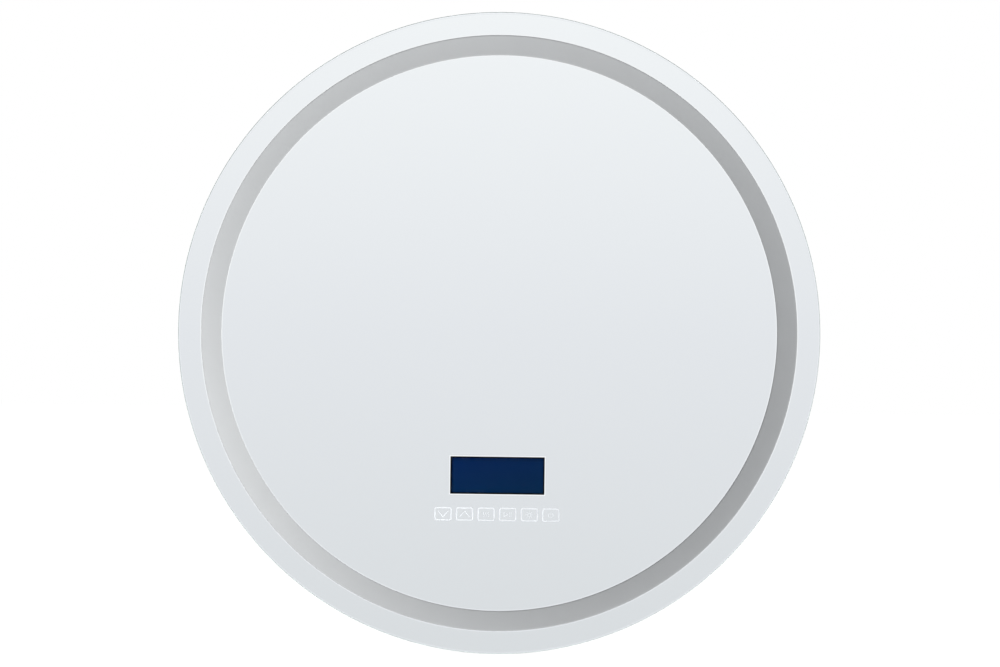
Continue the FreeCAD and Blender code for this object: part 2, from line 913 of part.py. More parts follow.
def make_speaker_magnet(x):
    """Magnet and pole in one block, with the gap that the voice coil moves in."""
    low = speaker_plate + basket_depth
    high = low + magnet_thickness
    body = cut_corner_block(magnet_width, magnet_height, speaker_corner, low, high, x, speaker_y)
    gap_outer = eight_sided(coil_across + 2 * coil_gap, low, coil_gap_end, x, speaker_y)
    pole = eight_sided(coil_across - 2 * coil_wall - 2 * coil_gap, low, coil_gap_end,
                       x, speaker_y)
    return body.cut(gap_outer.cut(pole))


# ---------------------------------------------------------------- leads

def bend(before, corner, after):
    """Arc that rounds one corner: its centre, radius, ends and side (1 turns left)."""
    way_in = (corner - before).normalize()
    way_out = (after - corner).normalize()
    turn = way_in.getAngle(way_out)
    setback = arc_share * min((corner - before).Length, (after - corner).Length)
    radius = setback / tan(turn / 2)
    centre = corner + (way_out - way_in).normalize() * (radius / cos(turn / 2))
    side = 1 if way_in.cross(way_out).z > 0 else -1
    return centre, radius, corner - way_in * setback, corner, corner + way_out * setback, side


def offset_edges(points, offset):
    """Edges of a route moved sideways: straight runs joined by tangent arcs."""
    first = (points[1] - points[0]).normalize()
    last = (points[-1] - points[-2]).normalize()
    here = points[0] + Vector(-first.y, first.x, 0) * offset
    finish = points[-1] + Vector(-last.y, last.x, 0) * offset
    edges = []
    for before, corner, after in zip(points, points[1:], points[2:]):
        centre, radius, start, middle, end, side = bend(before, corner, after)
        moved = radius - side * offset
        start, middle, end = [
            centre + (point - centre).normalize() * moved for point in (start, middle, end)
        ]
        edges.append(Part.LineSegment(here, start).toShape())
        edges.append(Part.Arc(start, middle, end).toShape())
        here = end
    edges.append(Part.LineSegment(here, finish).toShape())
    return edges, points[0] + Vector(-first.y, first.x, 0) * offset, finish


def flat_route(route, width, thickness):
    """Flat bar of the given width along a route in the XY plane, standing on z = 0."""
    points = [Vector(x, y, 0) for x, y in route]
    left, left_start, left_finish = offset_edges(points, width / 2)
    right, right_start, right_finish = offset_edges(points, -width / 2)
    ends = [
        Part.LineSegment(left_start, right_start).toShape(),
        Part.LineSegment(left_finish, right_finish).toShape(),
    ]
    outline = Part.Wire(Part.__sortEdges__(left + right + ends))
    return Part.Face(outline).extrude(Vector(0, 0, thickness))


def report_bends(name, route):
    points = [Vector(x, y, 0) for x, y in route]
    radii = [bend(*corner)[1] for corner in zip(points, points[1:], points[2:])]
    print(name, "bend radii", [round(radius, 1) for radius in radii])


def floor_lead(name, route):
    """Flat twin lead lying on the inside of the cover."""
    report_bends(name, route)
    lead = flat_route(route, lead_width, lead_thickness)
    lead.translate(Vector(0, 0, panel_face))
    return lead


def ribbon_down(name, route):
    """Ribbon centred on x = 0, from a route of (y, z) points."""
    report_bends(name, route)
    ribbon = flat_route(route, ribbon_thickness, ribbon_width)
    ribbon.rotate(Vector(0, 0, 0), Vector(1, 1, 1), 120)
    ribbon.translate(Vector(-ribbon_width / 2, 0, 0))
    return ribbon


def mains_lead_route():
    return [
        (inlet_x, terminal_y + terminal_depth / 2),
        (inlet_x, driver_y - mains_lead_drop),
        (-driver_end, driver_y - mains_lead_drop),
    ]


def led_lead_route():
    """From the driver along the cover, then straight out to the LED strip."""
    angle = radians(led_lead_angle)
    return [
        (driver_end, led_lead_y),
        (led_lead_y / tan(angle), led_lead_y),
        (strip_face * cos(angle), strip_face * sin(angle)),
    ]


def control_lead_route():
    level = led_lead_y - 2 * lead_width
    drop_x = speaker_x
    arrive_y = control_y + control_depth / 4
    return [
        (driver_end, level),
        (drop_x, level),
        (drop_x, arrive_y),
        (control_width / 2, arrive_y),
    ]


def speaker_lead_route(x):
    side = 1 if x > 0 else -1
    leave_y = control_y - control_depth / 4
    return [
        (side * control_width / 2, leave_y),
        (x, leave_y),
        (x, speaker_y + speaker_height / 2),
    ]


def make_demister_lead():
    """Rises from the terminal block to the heating film's terminal."""
    start_x = inlet_x + terminal_width / 2
    end_x = demister_terminal_x
    high = coat_back - demister_thickness - demister_terminal_height / 2
    low = panel_face + terminal_height / 2
    run = (end_x - start_x) / 3
    route = [(start_x, low), (start_x + run, low), (end_x - run, high), (end_x, high)]
    report_bends("lead_demister", route)
    lead = flat_route(route, lead_thickness, lead_width)
    lead.rotate(Vector(0, 0, 0), Vector(1, 0, 0), 90)
    lead.translate(Vector(0, terminal_y + lead_width / 2, 0))
    return lead


def make_display_ribbon():
    """From the control box up to the display's upper socket."""
    start_y = control_y - control_depth / 2
    end_y = -window_drop + display_inside()[1] / 2 - display_fit
    low = panel_face + control_height / 2
    high = ribbon_level()
    run = (start_y - end_y) / 3
    return ribbon_down("display_ribbon", [
        (start_y, low), (start_y - run, low), (end_y + run, high), (end_y, high),
    ])


def make_touch_ribbon():
    """Out of the display's lower socket and round to the back of the touch board."""
    start_y = -window_drop - display_inside()[1] / 2 + display_fit
    end_y = -key_drop
    return ribbon_down("touch_ribbon", [
        (start_y, ribbon_level()),
        (end_y, ribbon_level()),
        (end_y, touch_board_back() - connector_height),
    ])


def make_clip(x, y, angle):
    """Saddle stuck on the cover over a lead that runs at the given angle."""
    half = lead_width / 2 + lead_clearance / 2
    inner_top = lead_thickness + lead_clearance / 2
    outer_top = inner_top + clip_wall
    side = half + clip_wall
    foot = side + clip_foot
    outline = [
        (-foot, 0), (-half, 0), (-half, inner_top), (half, inner_top), (half, 0), (foot, 0),
        (foot, clip_wall), (side, clip_wall), (side, outer_top), (-side, outer_top),
        (-side, clip_wall), (-foot, clip_wall),
    ]
    face = outline_face([Vector(-clip_length / 2, a, b) for a, b in outline])
    clip = face.extrude(Vector(clip_length, 0, 0))
    clip.rotate(Vector(0, 0, 0), Vector(0, 0, 1), angle)
    clip.translate(Vector(x, y, panel_face))
    return clip


def run_length(run):
    (start_x, start_y), (end_x, end_y) = run
    return hypot(end_x - start_x, end_y - start_y)


def make_lead_clips():
    """One clip on each long straight run of the leads."""
    clips = []
    routes = [mains_lead_route(), led_lead_route(), control_lead_route()]
    routes += [speaker_lead_route(x) for side, x in speaker_places()]
    for route in routes:
        runs = list(zip(route, route[1:]))
        start, end = max(runs, key=run_length)
        angle = degrees(atan2(end[1] - start[1], end[0] - start[0]))
        clips.append(make_clip((start[0] + end[0]) / 2, (start[1] + end[1]) / 2, angle))
    return Part.makeCompound(clips)


# ---------------------------------------------------------------- write every piece

def main():
    os.makedirs("parts", exist_ok=True)
    save("mirror_glass", make_glass())
    save("silver_coat_centre", make_silver_centre())
    save("silver_coat_rim", make_silver_rim())
    save("band_diffuser", make_band_diffuser())
    save("silver_key_islands", make_key_islands())
    save("glass_tape_pads", make_tape())
    save("frame_ring", make_frame())
    save("frame_splice", make_splice())
    save("rear_cover", make_cover())
    save("cover_screws", make_cover_screws())
    for side, x in hanger_places():
        save("hanger_plate_" + side, make_hanger_plate(x))
        save("hanger_pocket_" + side, make_hanger_pocket(x))
    save("cable_gland", make_cable_gland())
    save("terminal_block", make_terminal_block())
    save("earth_stud", make_earth_stud())
    save("driver_case", make_driver_case())
    save("driver_cap_left", make_driver_cap(-1))
    save("driver_cap_right", make_driver_cap(1))
    save("led_strip", make_led_strip())
    save("led_chips", make_led_chips())
    save("display_bezel", make_bezel())
    save("lcd_panel", make_lcd_panel())
    save("display_backlight", make_backlight())
    save("display_board", make_display_board())
    save("display_housing", make_display_housing())
    save("key_light_guide", make_light_guide())
    save("touch_pads", make_touch_pads())
    save("touch_board", make_touch_board())
    save("control_box", make_control_box())
    save("control_lid", make_control_lid())
    save("control_board", make_control_board())
    save("demister_pad", make_demister())
    save("demister_terminal", make_demister_terminal())
    for side, x in speaker_places():
        save("speaker_mesh_" + side, make_speaker_mesh(x))
        save("speaker_gasket_" + side, make_speaker_gasket(x))
        save("speaker_basket_" + side, make_speaker_basket(x))
        save("speaker_surround_" + side, make_speaker_surround(x))
        save("speaker_cone_" + side, make_speaker_cone(x))
        save("voice_coil_" + side, make_voice_coil(x))
        save("speaker_magnet_" + side, make_speaker_magnet(x))
        save("lead_speaker_" + side, floor_lead("lead_speaker_" + side, speaker_lead_route(x)))
    save("lead_mains", floor_lead("lead_mains", mains_lead_route()))
    save("lead_led", floor_lead("lead_led", led_lead_route()))
    save("lead_control", floor_lead("lead_control", control_lead_route()))
    save("lead_demister", make_demister_lead())
    save("display_ribbon", make_display_ribbon())
    save("touch_ribbon", make_touch_ribbon())
    save("lead_clips", make_lead_clips())


main()
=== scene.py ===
import math

import bpy
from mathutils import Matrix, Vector


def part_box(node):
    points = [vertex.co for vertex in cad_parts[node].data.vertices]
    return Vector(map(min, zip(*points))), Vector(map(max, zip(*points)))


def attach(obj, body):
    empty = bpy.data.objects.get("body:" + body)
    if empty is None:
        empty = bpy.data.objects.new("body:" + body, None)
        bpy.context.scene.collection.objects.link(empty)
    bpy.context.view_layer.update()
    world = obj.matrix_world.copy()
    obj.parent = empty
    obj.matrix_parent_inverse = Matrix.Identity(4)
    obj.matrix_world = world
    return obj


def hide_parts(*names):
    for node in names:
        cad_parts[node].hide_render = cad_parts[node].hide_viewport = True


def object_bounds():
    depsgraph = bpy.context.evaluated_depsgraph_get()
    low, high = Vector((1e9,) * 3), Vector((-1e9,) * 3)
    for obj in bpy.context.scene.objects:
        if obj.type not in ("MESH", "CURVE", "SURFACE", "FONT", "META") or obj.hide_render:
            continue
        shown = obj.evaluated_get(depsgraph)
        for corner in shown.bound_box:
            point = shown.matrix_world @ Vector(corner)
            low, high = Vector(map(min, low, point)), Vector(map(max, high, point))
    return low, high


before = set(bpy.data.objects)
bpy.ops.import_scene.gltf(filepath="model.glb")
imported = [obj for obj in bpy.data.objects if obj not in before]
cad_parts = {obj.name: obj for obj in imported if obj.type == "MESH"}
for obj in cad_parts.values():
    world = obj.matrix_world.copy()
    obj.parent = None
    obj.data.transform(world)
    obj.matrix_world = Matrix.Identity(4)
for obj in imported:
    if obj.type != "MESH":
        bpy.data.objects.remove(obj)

cad_low, cad_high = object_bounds()

# ---------------------------------------------------------------- camera
# The camera looks straight at the mirror through a long lens. In the photograph the mirror's
# middle is a little left of and above the picture's, and the mirror is turned clockwise.
mm = 0.001
picture_width = 1000                    # pixels
picture_middle = (500.0, 333.5)
mirror_middle = (499.2, 333.1)          # of the glass's rim, in pixels
pixel = 0.934 * mm                      # at the front of the glass
mirror_turn = math.radians(0.72)
lens = 85.0
film_width = 36.0

distance = picture_width * pixel * lens / film_width
camera_x = (picture_middle[0] - mirror_middle[0]) * pixel
camera_z = (mirror_middle[1] - picture_middle[1]) * pixel
bpy.ops.object.camera_add(
    location=(camera_x, cad_low.y - distance, camera_z),
    rotation=(math.radians(90), -mirror_turn, 0),
)
bpy.context.object.data.lens = lens
bpy.context.object.data.sensor_width = film_width
bpy.context.scene.camera = bpy.context.object
bpy.context.scene.view_settings.view_transform = "Standard"


# ---------------------------------------------------------------- studio
# A white studio. The eye sees plain white behind the mirror, while the silver and the glass
# show soft walls that are lighter above than below, and the rest is lit a little from all round.
class Value:
    """An output of a node. Arithmetic on it adds Math nodes."""

    def __init__(self, nodes, node, output):
        self.nodes = nodes
        self.node = node
        self.socket = node.outputs[output] if node.outputs else None

    def out(self, output):
        return Value(self.nodes, self.node, output)

    def math(self, operation, *numbers):
        return self.nodes.add("Math", {"operation": operation}, dict(enumerate(numbers)))

    def __add__(self, other):
        return self.math("ADD", self, other)

    def __sub__(self, other):
        return self.math("SUBTRACT", self, other)

    def __rsub__(self, other):
        return self.math("SUBTRACT", other, self)

    def __mul__(self, other):
        return self.math("MULTIPLY", self, other)

    def __truediv__(self, other):
        return self.math("DIVIDE", self, other)

    def __mod__(self, other):
        return self.math("FLOORED_MODULO", self, other)

    def __lt__(self, other):
        return self.math("LESS_THAN", self, other)

    def __gt__(self, other):
        return self.math("GREATER_THAN", self, other)

    def __abs__(self):
        return self.math("ABSOLUTE", self)

    def from_middle(self, pitch):
        """Distance to the middle of a stretch that repeats after this pitch."""
        return abs(self % pitch - pitch / 2)

    __radd__ = __add__
    __rmul__ = __mul__


class Nodes:
    """A tree of shader nodes."""

    def __init__(self, tree):
        self.tree = tree
        tree.nodes.clear()

    def add(self, kind, settings={}, sockets={}, output=0):
        """Add a node of this type: its settings, then the values or links of its sockets."""
        node = self.tree.nodes.new("ShaderNode" + kind)
        for name, setting in settings.items():
            if name == "stops":
                for place, colour in setting[1:-1]:
                    node.color_ramp.elements.new(place).color = colour
                ends = node.color_ramp.elements
                ends[0].position, ends[0].color = setting[0]
                ends[-1].position, ends[-1].color = setting[-1]
            else:
                setattr(node, name, setting)
        for name, value in sockets.items():
            if isinstance(value, Value):
                self.tree.links.new(value.socket, node.inputs[name])
            else:
                node.inputs[name].default_value = value
        return Value(self, node, output)

    def mix(self, share, first, second):
        """A colour between two."""
        sockets = {0: share, 6: first, 7: second}
        return self.add("Mix", {"data_type": "RGBA"}, sockets, output=2)


def tone(red, green, blue):
    """The colour that shows at these levels from 0 to 255."""
    levels = [level / 255 for level in (red, green, blue)]
    linear = [(level + 0.055) / 1.055 if level > 0.04 else level / 12.92 for level in levels]
    return tuple(
        share ** 2.4 if level > 0.04 else share for share, level in zip(linear, levels)
    ) + (1.0,)


white = (1.0, 1.0, 1.0, 1.0)
soft_light = (0.290, 0.297, 0.310, 1.0) # from all round
walls = [                               # what the silver shows, from straight below to above
    (0.0, (0.60, 0.62, 0.64, 1.0)),
    (0.437, (0.737, 0.766, 0.791, 1.0)),
    (0.5, (0.821, 0.846, 0.881, 1.0)),
    (0.563, (0.942, 0.968, 0.988, 1.0)),
    (0.75, (1.0, 1.0, 1.0, 1.0)),
]

studio = bpy.data.worlds.new("studio")
bpy.context.scene.world = studio
studio.use_nodes = True
sky = Nodes(studio.node_tree)
ray = sky.add("LightPath")
direction = sky.add("TexCoord", output="Generated")
height = sky.add("SeparateXYZ", {}, {0: direction}).out("Z")
reflected = sky.add("ValToRGB", {"stops": walls}, {0: height * 0.5 + 0.5})
bounced = ray.math("MAXIMUM", ray.out("Is Glossy Ray"), ray.out("Is Transmission Ray"))
bounced = bounced * (ray.out("Diffuse Depth") < 0.5)
seen = sky.mix(bounced, soft_light, reflected)
seen = sky.mix(ray.out("Is Camera Ray"), seen, white)
sky.add("OutputWorld", {}, {"Surface": sky.add("Background", {}, {"Color": seen})})


# ---------------------------------------------------------------- floor and lamps
# A plain white floor just under the rim keeps a faint shadow. One softbox stands low on the left
# and one above, so that the light band is palest there; another lights the back.
floor_gap = 0.5 * mm
floor_size = 14.0
shadow_share = 0.25                     # of the floor's own shade in what the eye sees
floor_glow = 1.29
floor_paint = (0.6, 0.6, 0.6, 1.0)

bpy.ops.mesh.primitive_plane_add(size=floor_size, location=(0, 0, cad_low.z - floor_gap))
floor = bpy.context.object
floor.name = "floor"
floor.data.materials.append(bpy.data.materials.new("floor_white"))
floor.data.materials[0].use_nodes = True
plain = Nodes(floor.data.materials[0].node_tree)
ray = plain.add("LightPath")
shaded = plain.add("BsdfDiffuse", {}, {"Color": floor_paint})
glow = plain.add("Emission", {}, {"Strength": floor_glow})
pale = plain.add("MixShader", {}, {0: shadow_share, 1: glow, 2: shaded})
pale = plain.add("MixShader", {}, {0: ray.out("Is Camera Ray"), 1: shaded, 2: pale})
bounced = ray.math("MAXIMUM", ray.out("Is Glossy Ray"), ray.out("Is Transmission Ray"))
clear = plain.add("BsdfTransparent")
pale = plain.add("MixShader", {}, {0: bounced, 1: pale, 2: clear})
plain.add("OutputMaterial", {}, {"Surface": pale})


def softbox(name, place, size, power):
    """A square lamp that faces the mirror's middle and isn't seen in it."""
    bpy.ops.object.light_add(type="AREA", location=place)
    lamp = bpy.context.object
    lamp.name = name
    lamp.data.energy = power
    lamp.data.size = size
    lamp.rotation_euler = (-Vector(place)).to_track_quat("-Z", "Y").to_euler()
    lamp.visible_glossy = False
    lamp.visible_transmission = False


softbox("lamp_left", (-0.46, -0.49, -0.22), 0.12, 2.17)
softbox("lamp_above", (-0.11, -0.68, 1.47), 0.12, 16.5)
softbox("lamp_behind", (0.9, 1.7, 1.0), 1.0, 30.0)


# ---------------------------------------------------------------- rear cover
# One sheet of steel pressed to a flat rim, a sloping step and a middle set in from the wall. It is
# punched for the hangers, the gland, the earth stud and the speakers' slots, and powder-coated.
class Finish(Nodes):
    """A material. Its patterns follow the piece's own place, in millimetres."""

    def __init__(self, name):
        self.material = bpy.data.materials.new(name)
        self.material.use_nodes = True
        super().__init__(self.material.node_tree)
        metres = self.add("TexCoord", output="Object")
        self.place = self.add("VectorMath", {"operation": "SCALE"}, {0: metres, "Scale": 1 / mm})
        apart = self.add("SeparateXYZ", {}, {0: self.place})
        self.x, self.y, self.z = (apart.out(axis) for axis in "XYZ")

    def noise(self, size, detail=2.0, place=None):
        """Soft noise from 0 to 1 with blotches about this many millimetres across."""
        sockets = {"Vector": place or self.place, "Scale": 1 / size, "Detail": detail}
        return self.add("TexNoise", {}, sockets)

    def cells(self, scale, output="Distance"):
        """Cells, this many to a millimetre: the distance to a cell's point, or its own colour."""
        return self.add("TexVoronoi", {}, {"Vector": self.place, "Scale": scale}, output=output)

    def stretched(self, x, y, z):
        """The place, with its three axes multiplied."""
        return self.add("VectorMath", {"operation": "MULTIPLY"}, {0: self.place, 1: (x, y, z)})

    def polar(self):
        """Distance from the mirror's axis, and the angle round it in radians."""
        radius = self.x.math("SQRT", self.x * self.x + self.z * self.z)
        return radius, self.x.math("ARCTAN2", self.z, self.x)

    def cover(self, base, rough, metal=0.0, relief=None, depth=0.0, **more):
        """The whole surface: colour, roughness, metal and a relief this many mm deep."""
        sockets = {"Base Color": base, "Roughness": rough, "Metallic": metal}
        if relief is not None:
            sockets["Normal"] = self.add("Bump", {}, {"Height": relief, "Distance": depth * mm})
        sockets.update({name.replace("_", " "): value for name, value in more.items()})
        shader = self.add("BsdfPrincipled", {}, sockets)
        self.add("OutputMaterial", {}, {"Surface": shader})
        return self


def only(piece):
    """Select this piece alone."""
    bpy.ops.object.select_all(action="DESELECT")
    piece.select_set(True)
    bpy.context.view_layer.objects.active = piece


def rounded(corners, steps=5):
    """Points of a closed outline whose (x, y, rounding) corners are rounded."""
    points = []
    for number, (x, y, rounding) in enumerate(corners):
        corner = Vector((x, y))
        before = Vector(corners[number - 1][:2])
        after = Vector(corners[(number + 1) % len(corners)][:2])
        way_in = (corner - before).normalized()
        way_out = (after - corner).normalized()
        if rounding == 0:
            points.append(corner)
            continue
        reach = rounding * math.tan(way_in.angle(way_out) / 2)
        start, end = corner - way_in * reach, corner + way_out * reach
        for step in range(steps + 1):
            share = step / steps
            points.append(
                start * (1 - share) ** 2 + corner * 2 * share * (1 - share) + end * share ** 2
            )
    return points


def outline(name, points, upright):
    """A flat face with these corners, in millimetres; upright ones stand in the mirror's plane."""
    bpy.ops.object.select_all(action="DESELECT")
    bpy.ops.mesh.primitive_circle_add(vertices=len(points), fill_type="NGON")
    piece = bpy.context.object
    piece.name = piece.data.name = name
    for vertex, (a, b) in zip(piece.data.vertices, points):
        vertex.co = (a * mm, 0, b * mm) if upright else (a * mm, b * mm, 0)
    return piece


def spun(name, corners, steps=256, rounding_steps=4):
    """A ring or dish: its rounded (radius, y) outline turned about the mirror's axis."""
    piece = outline(name, rounded(corners, rounding_steps), upright=False)
    bpy.ops.object.mode_set(mode="EDIT")
    bpy.ops.mesh.select_all(action="SELECT")
    bpy.ops.mesh.delete(type="ONLY_FACE")
    bpy.ops.mesh.select_all(action="SELECT")
    bpy.ops.mesh.spin(steps=steps, angle=math.tau, center=(0, 0, 0), axis=(0, 1, 0))
    bpy.ops.mesh.select_all(action="SELECT")
    bpy.ops.mesh.remove_doubles(threshold=0.0005 * mm)
    bpy.ops.mesh.delete_loose()
    bpy.ops.mesh.select_all(action="SELECT")
    bpy.ops.mesh.normals_make_consistent(inside=False)
    bpy.ops.object.mode_set(mode="OBJECT")
    return piece


def plate(name, points, back, front):
    """A flat piece with this (x, z) outline between two levels of y."""
    piece = outline(name, points, upright=True)
    bpy.ops.object.mode_set(mode="EDIT")
    bpy.ops.mesh.select_all(action="SELECT")
    thickness = (front - back) * mm
    bpy.ops.transform.translate(value=(0, back * mm, 0))
    bpy.ops.mesh.extrude_region_move(TRANSFORM_OT_translate={"value": (0, thickness, 0)})
    bpy.ops.mesh.select_all(action="SELECT")
    bpy.ops.mesh.normals_make_consistent(inside=False)
    bpy.ops.object.mode_set(mode="OBJECT")
    return piece


def joined(name, pieces):
    """Several pieces made one."""
    only(pieces[0])
    for piece in pieces:
        piece.select_set(True)
    if len(pieces) > 1:
        bpy.ops.object.join()
    pieces[0].name = pieces[0].data.name = name
    return pieces[0]


def applied(piece, kind, **settings):
    """Finish a piece with one modifier, applied."""
    only(piece)
    bpy.ops.object.modifier_add(type=kind)
    modifier = piece.modifiers[-1]
    for name, setting in settings.items():
        setattr(modifier, name, setting)
    bpy.ops.object.modifier_apply(modifier=modifier.name)
    return piece


def cut(piece, cutters):
    """Cut these shapes out of a piece. They are used up."""
    cutter = joined("cutter", cutters)
    applied(piece, "BOOLEAN", operation="DIFFERENCE", solver="EXACT", object=cutter)
    bpy.data.objects.remove(cutter)
    return piece


def softened(piece, width, steps=2, angle=40):
    """Round a piece's sharp edges by this many millimetres."""
    settings = {"width": width * mm, "segments": steps, "limit_method": "ANGLE"}
    return applied(piece, "BEVEL", angle_limit=math.radians(angle), **settings)


def fitted(piece, finish, slot, *nodes, body="mirror", angle=35):
    """Smooth a new piece, give it its finish and let it stand for these nodes of the frame."""
    only(piece)
    bpy.ops.object.shade_smooth_by_angle(angle=math.radians(angle))
    if not piece.data.materials:
        piece.data.materials.append(finish.material)
    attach(piece, body)
    if nodes:
        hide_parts(*nodes)
    return piece


def bar(width, height, rounding=None, x=0.0, z=0.0, steps=5):
    """Rounded rectangle about (x, z), as points. Its ends are round where no rounding is given."""
    right, top = width / 2, height / 2
    if rounding is None:
        rounding = min(right, top) - 0.01
    corners = [(right, -top), (right, top), (-right, top), (-right, -top)]
    return [
        (x + point.x, z + point.y)
        for point in rounded([(a, b, rounding) for a, b in corners], steps)
    ]


rim_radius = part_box("rear_cover")[1].x / mm
sheet = 1.2
rim_back = -2.0
middle_back = -5.0
rim_width = 16.0
bend_radius = 2.2
speaker_x = 118.0
speaker_drop = 120.0
sound_slot = (50.0, 3.0)
slot_pitch = 6.0
slot_rows = (-1.5, -0.5, 0.5, 1.5)      # pitches from the speaker's middle
hanger_spacing = 300.0
window_middle = 155.75                  # height of the openings behind the hangers
window_opening = (23.0, 34.5, 4.0)
inlet_place = (-125.0, -6.0)
inlet_hole = 12.4
earth_place = (-101.0, -6.0)
earth_hole = 4.0
beyond = 2.0                            # that a cutter reaches past the sheet

step_foot = rim_radius - rim_width
step_head = step_foot - (rim_back - middle_back)
shift = sheet * math.tan(math.radians(22.5))
rear_cover = spun("rear_cover_shell", [
    (0, middle_back, 0),
    (step_head, middle_back, bend_radius),
    (step_foot, rim_back, bend_radius),
    (rim_radius, rim_back, 0.4),
    (rim_radius, rim_back - sheet, 0.3),
    (step_foot + shift, rim_back - sheet, bend_radius - sheet / 2),
    (step_head + shift, middle_back - sheet, bend_radius),
    (0, middle_back - sheet, 0),
])


def punch(points):
    """A cutter through the middle of the cover."""
    return plate("punch", points, middle_back + beyond, middle_back - sheet - beyond)


punches = [
    punch(bar(*sound_slot, None, side * speaker_x, row * slot_pitch - speaker_drop))
    for side in (-1, 1) for row in slot_rows
]
punches += [
    punch(bar(*window_opening, side * hanger_spacing / 2, window_middle)) for side in (-1, 1)
]
punches.append(punch(bar(inlet_hole, inlet_hole, None, *inlet_place)))
punches.append(punch(bar(earth_hole, earth_hole, None, *earth_place)))
cut(rear_cover, punches)

powder = Finish("powder_coat")
blotch = powder.noise(70.0, 3.0)
fine = powder.noise(1.6, 2.0)
powder.cover(
    powder.mix(blotch, tone(226, 226, 223), tone(238, 238, 236)),
    0.42 + 0.14 * powder.noise(9.0),
    relief=fine,
    depth=0.11,
)
fitted(rear_cover, powder, "cover_paint", "rear_cover")


# ---------------------------------------------------------------- cover screws
# Six zinc-plated pan-head screws with a cross recess hold the cover's rim to the frame's flange.
# Each was driven home at its own angle.
screw_circle = 282.5
screw_count = 6
head_radius = 3.5
head_height = 1.6
head_rounding = 1.1
screw_turn = 0.9                        # radians from one screw to the next
recess_depth = 1.0
recess_width = 0.95
recess_length = 4.2

bright_zinc = Finish("bright_zinc")
scratch = bright_zinc.noise(0.6, 3.0, bright_zinc.stretched(1, 1, 0.15))
bright_zinc.cover(
    bright_zinc.mix(bright_zinc.noise(6.0, 3.0), tone(176, 180, 184), tone(206, 207, 204)),
    0.24 + 0.22 * scratch,
    metal=1.0,
    relief=scratch,
    depth=0.006,
)

bpy.ops.object.select_all(action="DESELECT")
bpy.ops.mesh.primitive_cylinder_add(
    vertices=40, radius=head_radius * mm, depth=head_height * mm,
    location=(0, (rim_back + head_height / 2) * mm, 0), rotation=(math.radians(90), 0, 0),
)
pan_head = bpy.context.object
bpy.ops.object.transform_apply(location=True, rotation=True, scale=True)
bpy.ops.object.mode_set(mode="EDIT")
bpy.ops.mesh.select_all(action="DESELECT")
bpy.ops.object.mode_set(mode="OBJECT")
for face in pan_head.data.polygons:
    face.select = face.normal.y > 0.9
bpy.ops.object.mode_set(mode="EDIT")
bpy.ops.mesh.bevel(offset=head_rounding * mm, segments=5, affect="EDGES")
bpy.ops.object.mode_set(mode="OBJECT")
recess_low = rim_back + head_height - recess_depth
cross = [
    plate("cross", bar(wide, tall, 0.3, steps=2), recess_low, rim_back + head_height + beyond)
    for wide, tall in ((recess_length, recess_width), (recess_width, recess_length))
]
for blade in cross:
    cut(pan_head, [blade])


def copied(piece, name, x, z=0.0, turn=0.0):
    """Another of the same, turned about the Y axis and then moved in the mirror's plane."""
    other = bpy.data.objects.new(name, piece.data.copy())
    other.data.name = name
    bpy.context.collection.objects.link(other)
    only(other)
    other.rotation_euler = (0, turn, 0)
    other.location = (x * mm, 0, z * mm)
    bpy.ops.object.transform_apply(location=True, rotation=True, scale=True)
    return other


screws = []
for number in range(screw_count):
    angle = math.tau * number / screw_count
    screws.append(copied(pan_head, "screw", screw_circle * math.cos(angle),
                         screw_circle * math.sin(angle), turn=screw_turn * number))
bpy.data.objects.remove(pan_head)
fitted(joined("cover_screw_heads", screws), bright_zinc, "zinc_steel", "cover_screws")


# ---------------------------------------------------------------- hangers
# Two zinc-plated steel plates, spot-welded to the back of the cover, each with a keyhole for a
# wall screw. A moulded tub inside the cover takes the screw's head.
plate_width = 35.0
plate_length = 46.5
plate_corner = 4.0
plate_back = -3.5
keyhole_height = 150.0
keyhole_radius = 5.0
slot_width = 5.0
slot_travel = 14.0
plate_rounding = 0.25                   # of its sharp edges
cover_gap = 0.02                        # so that no two faces coincide
weld_radius = 1.8
weld_x = 13.6                           # from the plate's middle
weld_z = 18.6
entry_steps = 32
slot_steps = 12


def keyhole(x):
    """Outline of the round entry with the slot above it, from the slot's right foot."""
    half = slot_width / 2
    foot = math.asin(half / keyhole_radius)
    points = []
    for step in range(entry_steps + 1):
        angle = math.pi / 2 + foot + (math.tau - 2 * foot) * step / entry_steps
        points.append((x + keyhole_radius * math.cos(angle),
                       keyhole_height + keyhole_radius * math.sin(angle)))
    for step in range(slot_steps + 1):
        angle = math.pi * step / slot_steps
        points.append((x + half * math.cos(angle),
                       keyhole_height + slot_travel + half * math.sin(angle)))
    return points


hanger_zinc = Finish("hanger_zinc")
spangle = hanger_zinc.cells(0.22, "Color")
grey = hanger_zinc.add("SeparateColor", {}, {0: spangle})
weld = 0.0
for side in (-1, 1):
    for up in (-1, 1):
        across = abs(hanger_zinc.x) - (hanger_spacing / 2 + side * weld_x)
        along = hanger_zinc.z - (window_middle + up * weld_z)
        spot = across * across + along * along
        weld = weld + (spot < weld_radius ** 2)
hanger_zinc.cover(
    hanger_zinc.mix(
        weld * 0.5,
        hanger_zinc.mix(grey, tone(186, 189, 192), tone(204, 206, 206)),
        tone(150, 148, 146),
    ),
    0.30 + 0.12 * grey,
    metal=1.0,
    relief=0.3 * hanger_zinc.noise(1.5) - weld,
    depth=0.12,
)
left_x = -hanger_spacing / 2
hanger = plate("hanger_left", bar(plate_width, plate_length, plate_corner, left_x, window_middle),
               middle_back + cover_gap, plate_back)
cut(hanger, [plate("keyhole", keyhole(left_x), middle_back - beyond, plate_back + beyond)])
softened(hanger, plate_rounding)
other_hanger = copied(hanger, "hanger_right", hanger_spacing)
fitted(hanger, hanger_zinc, "zinc_steel", "hanger_plate_left")
fitted(other_hanger, hanger_zinc, "zinc_steel", "hanger_plate_right")


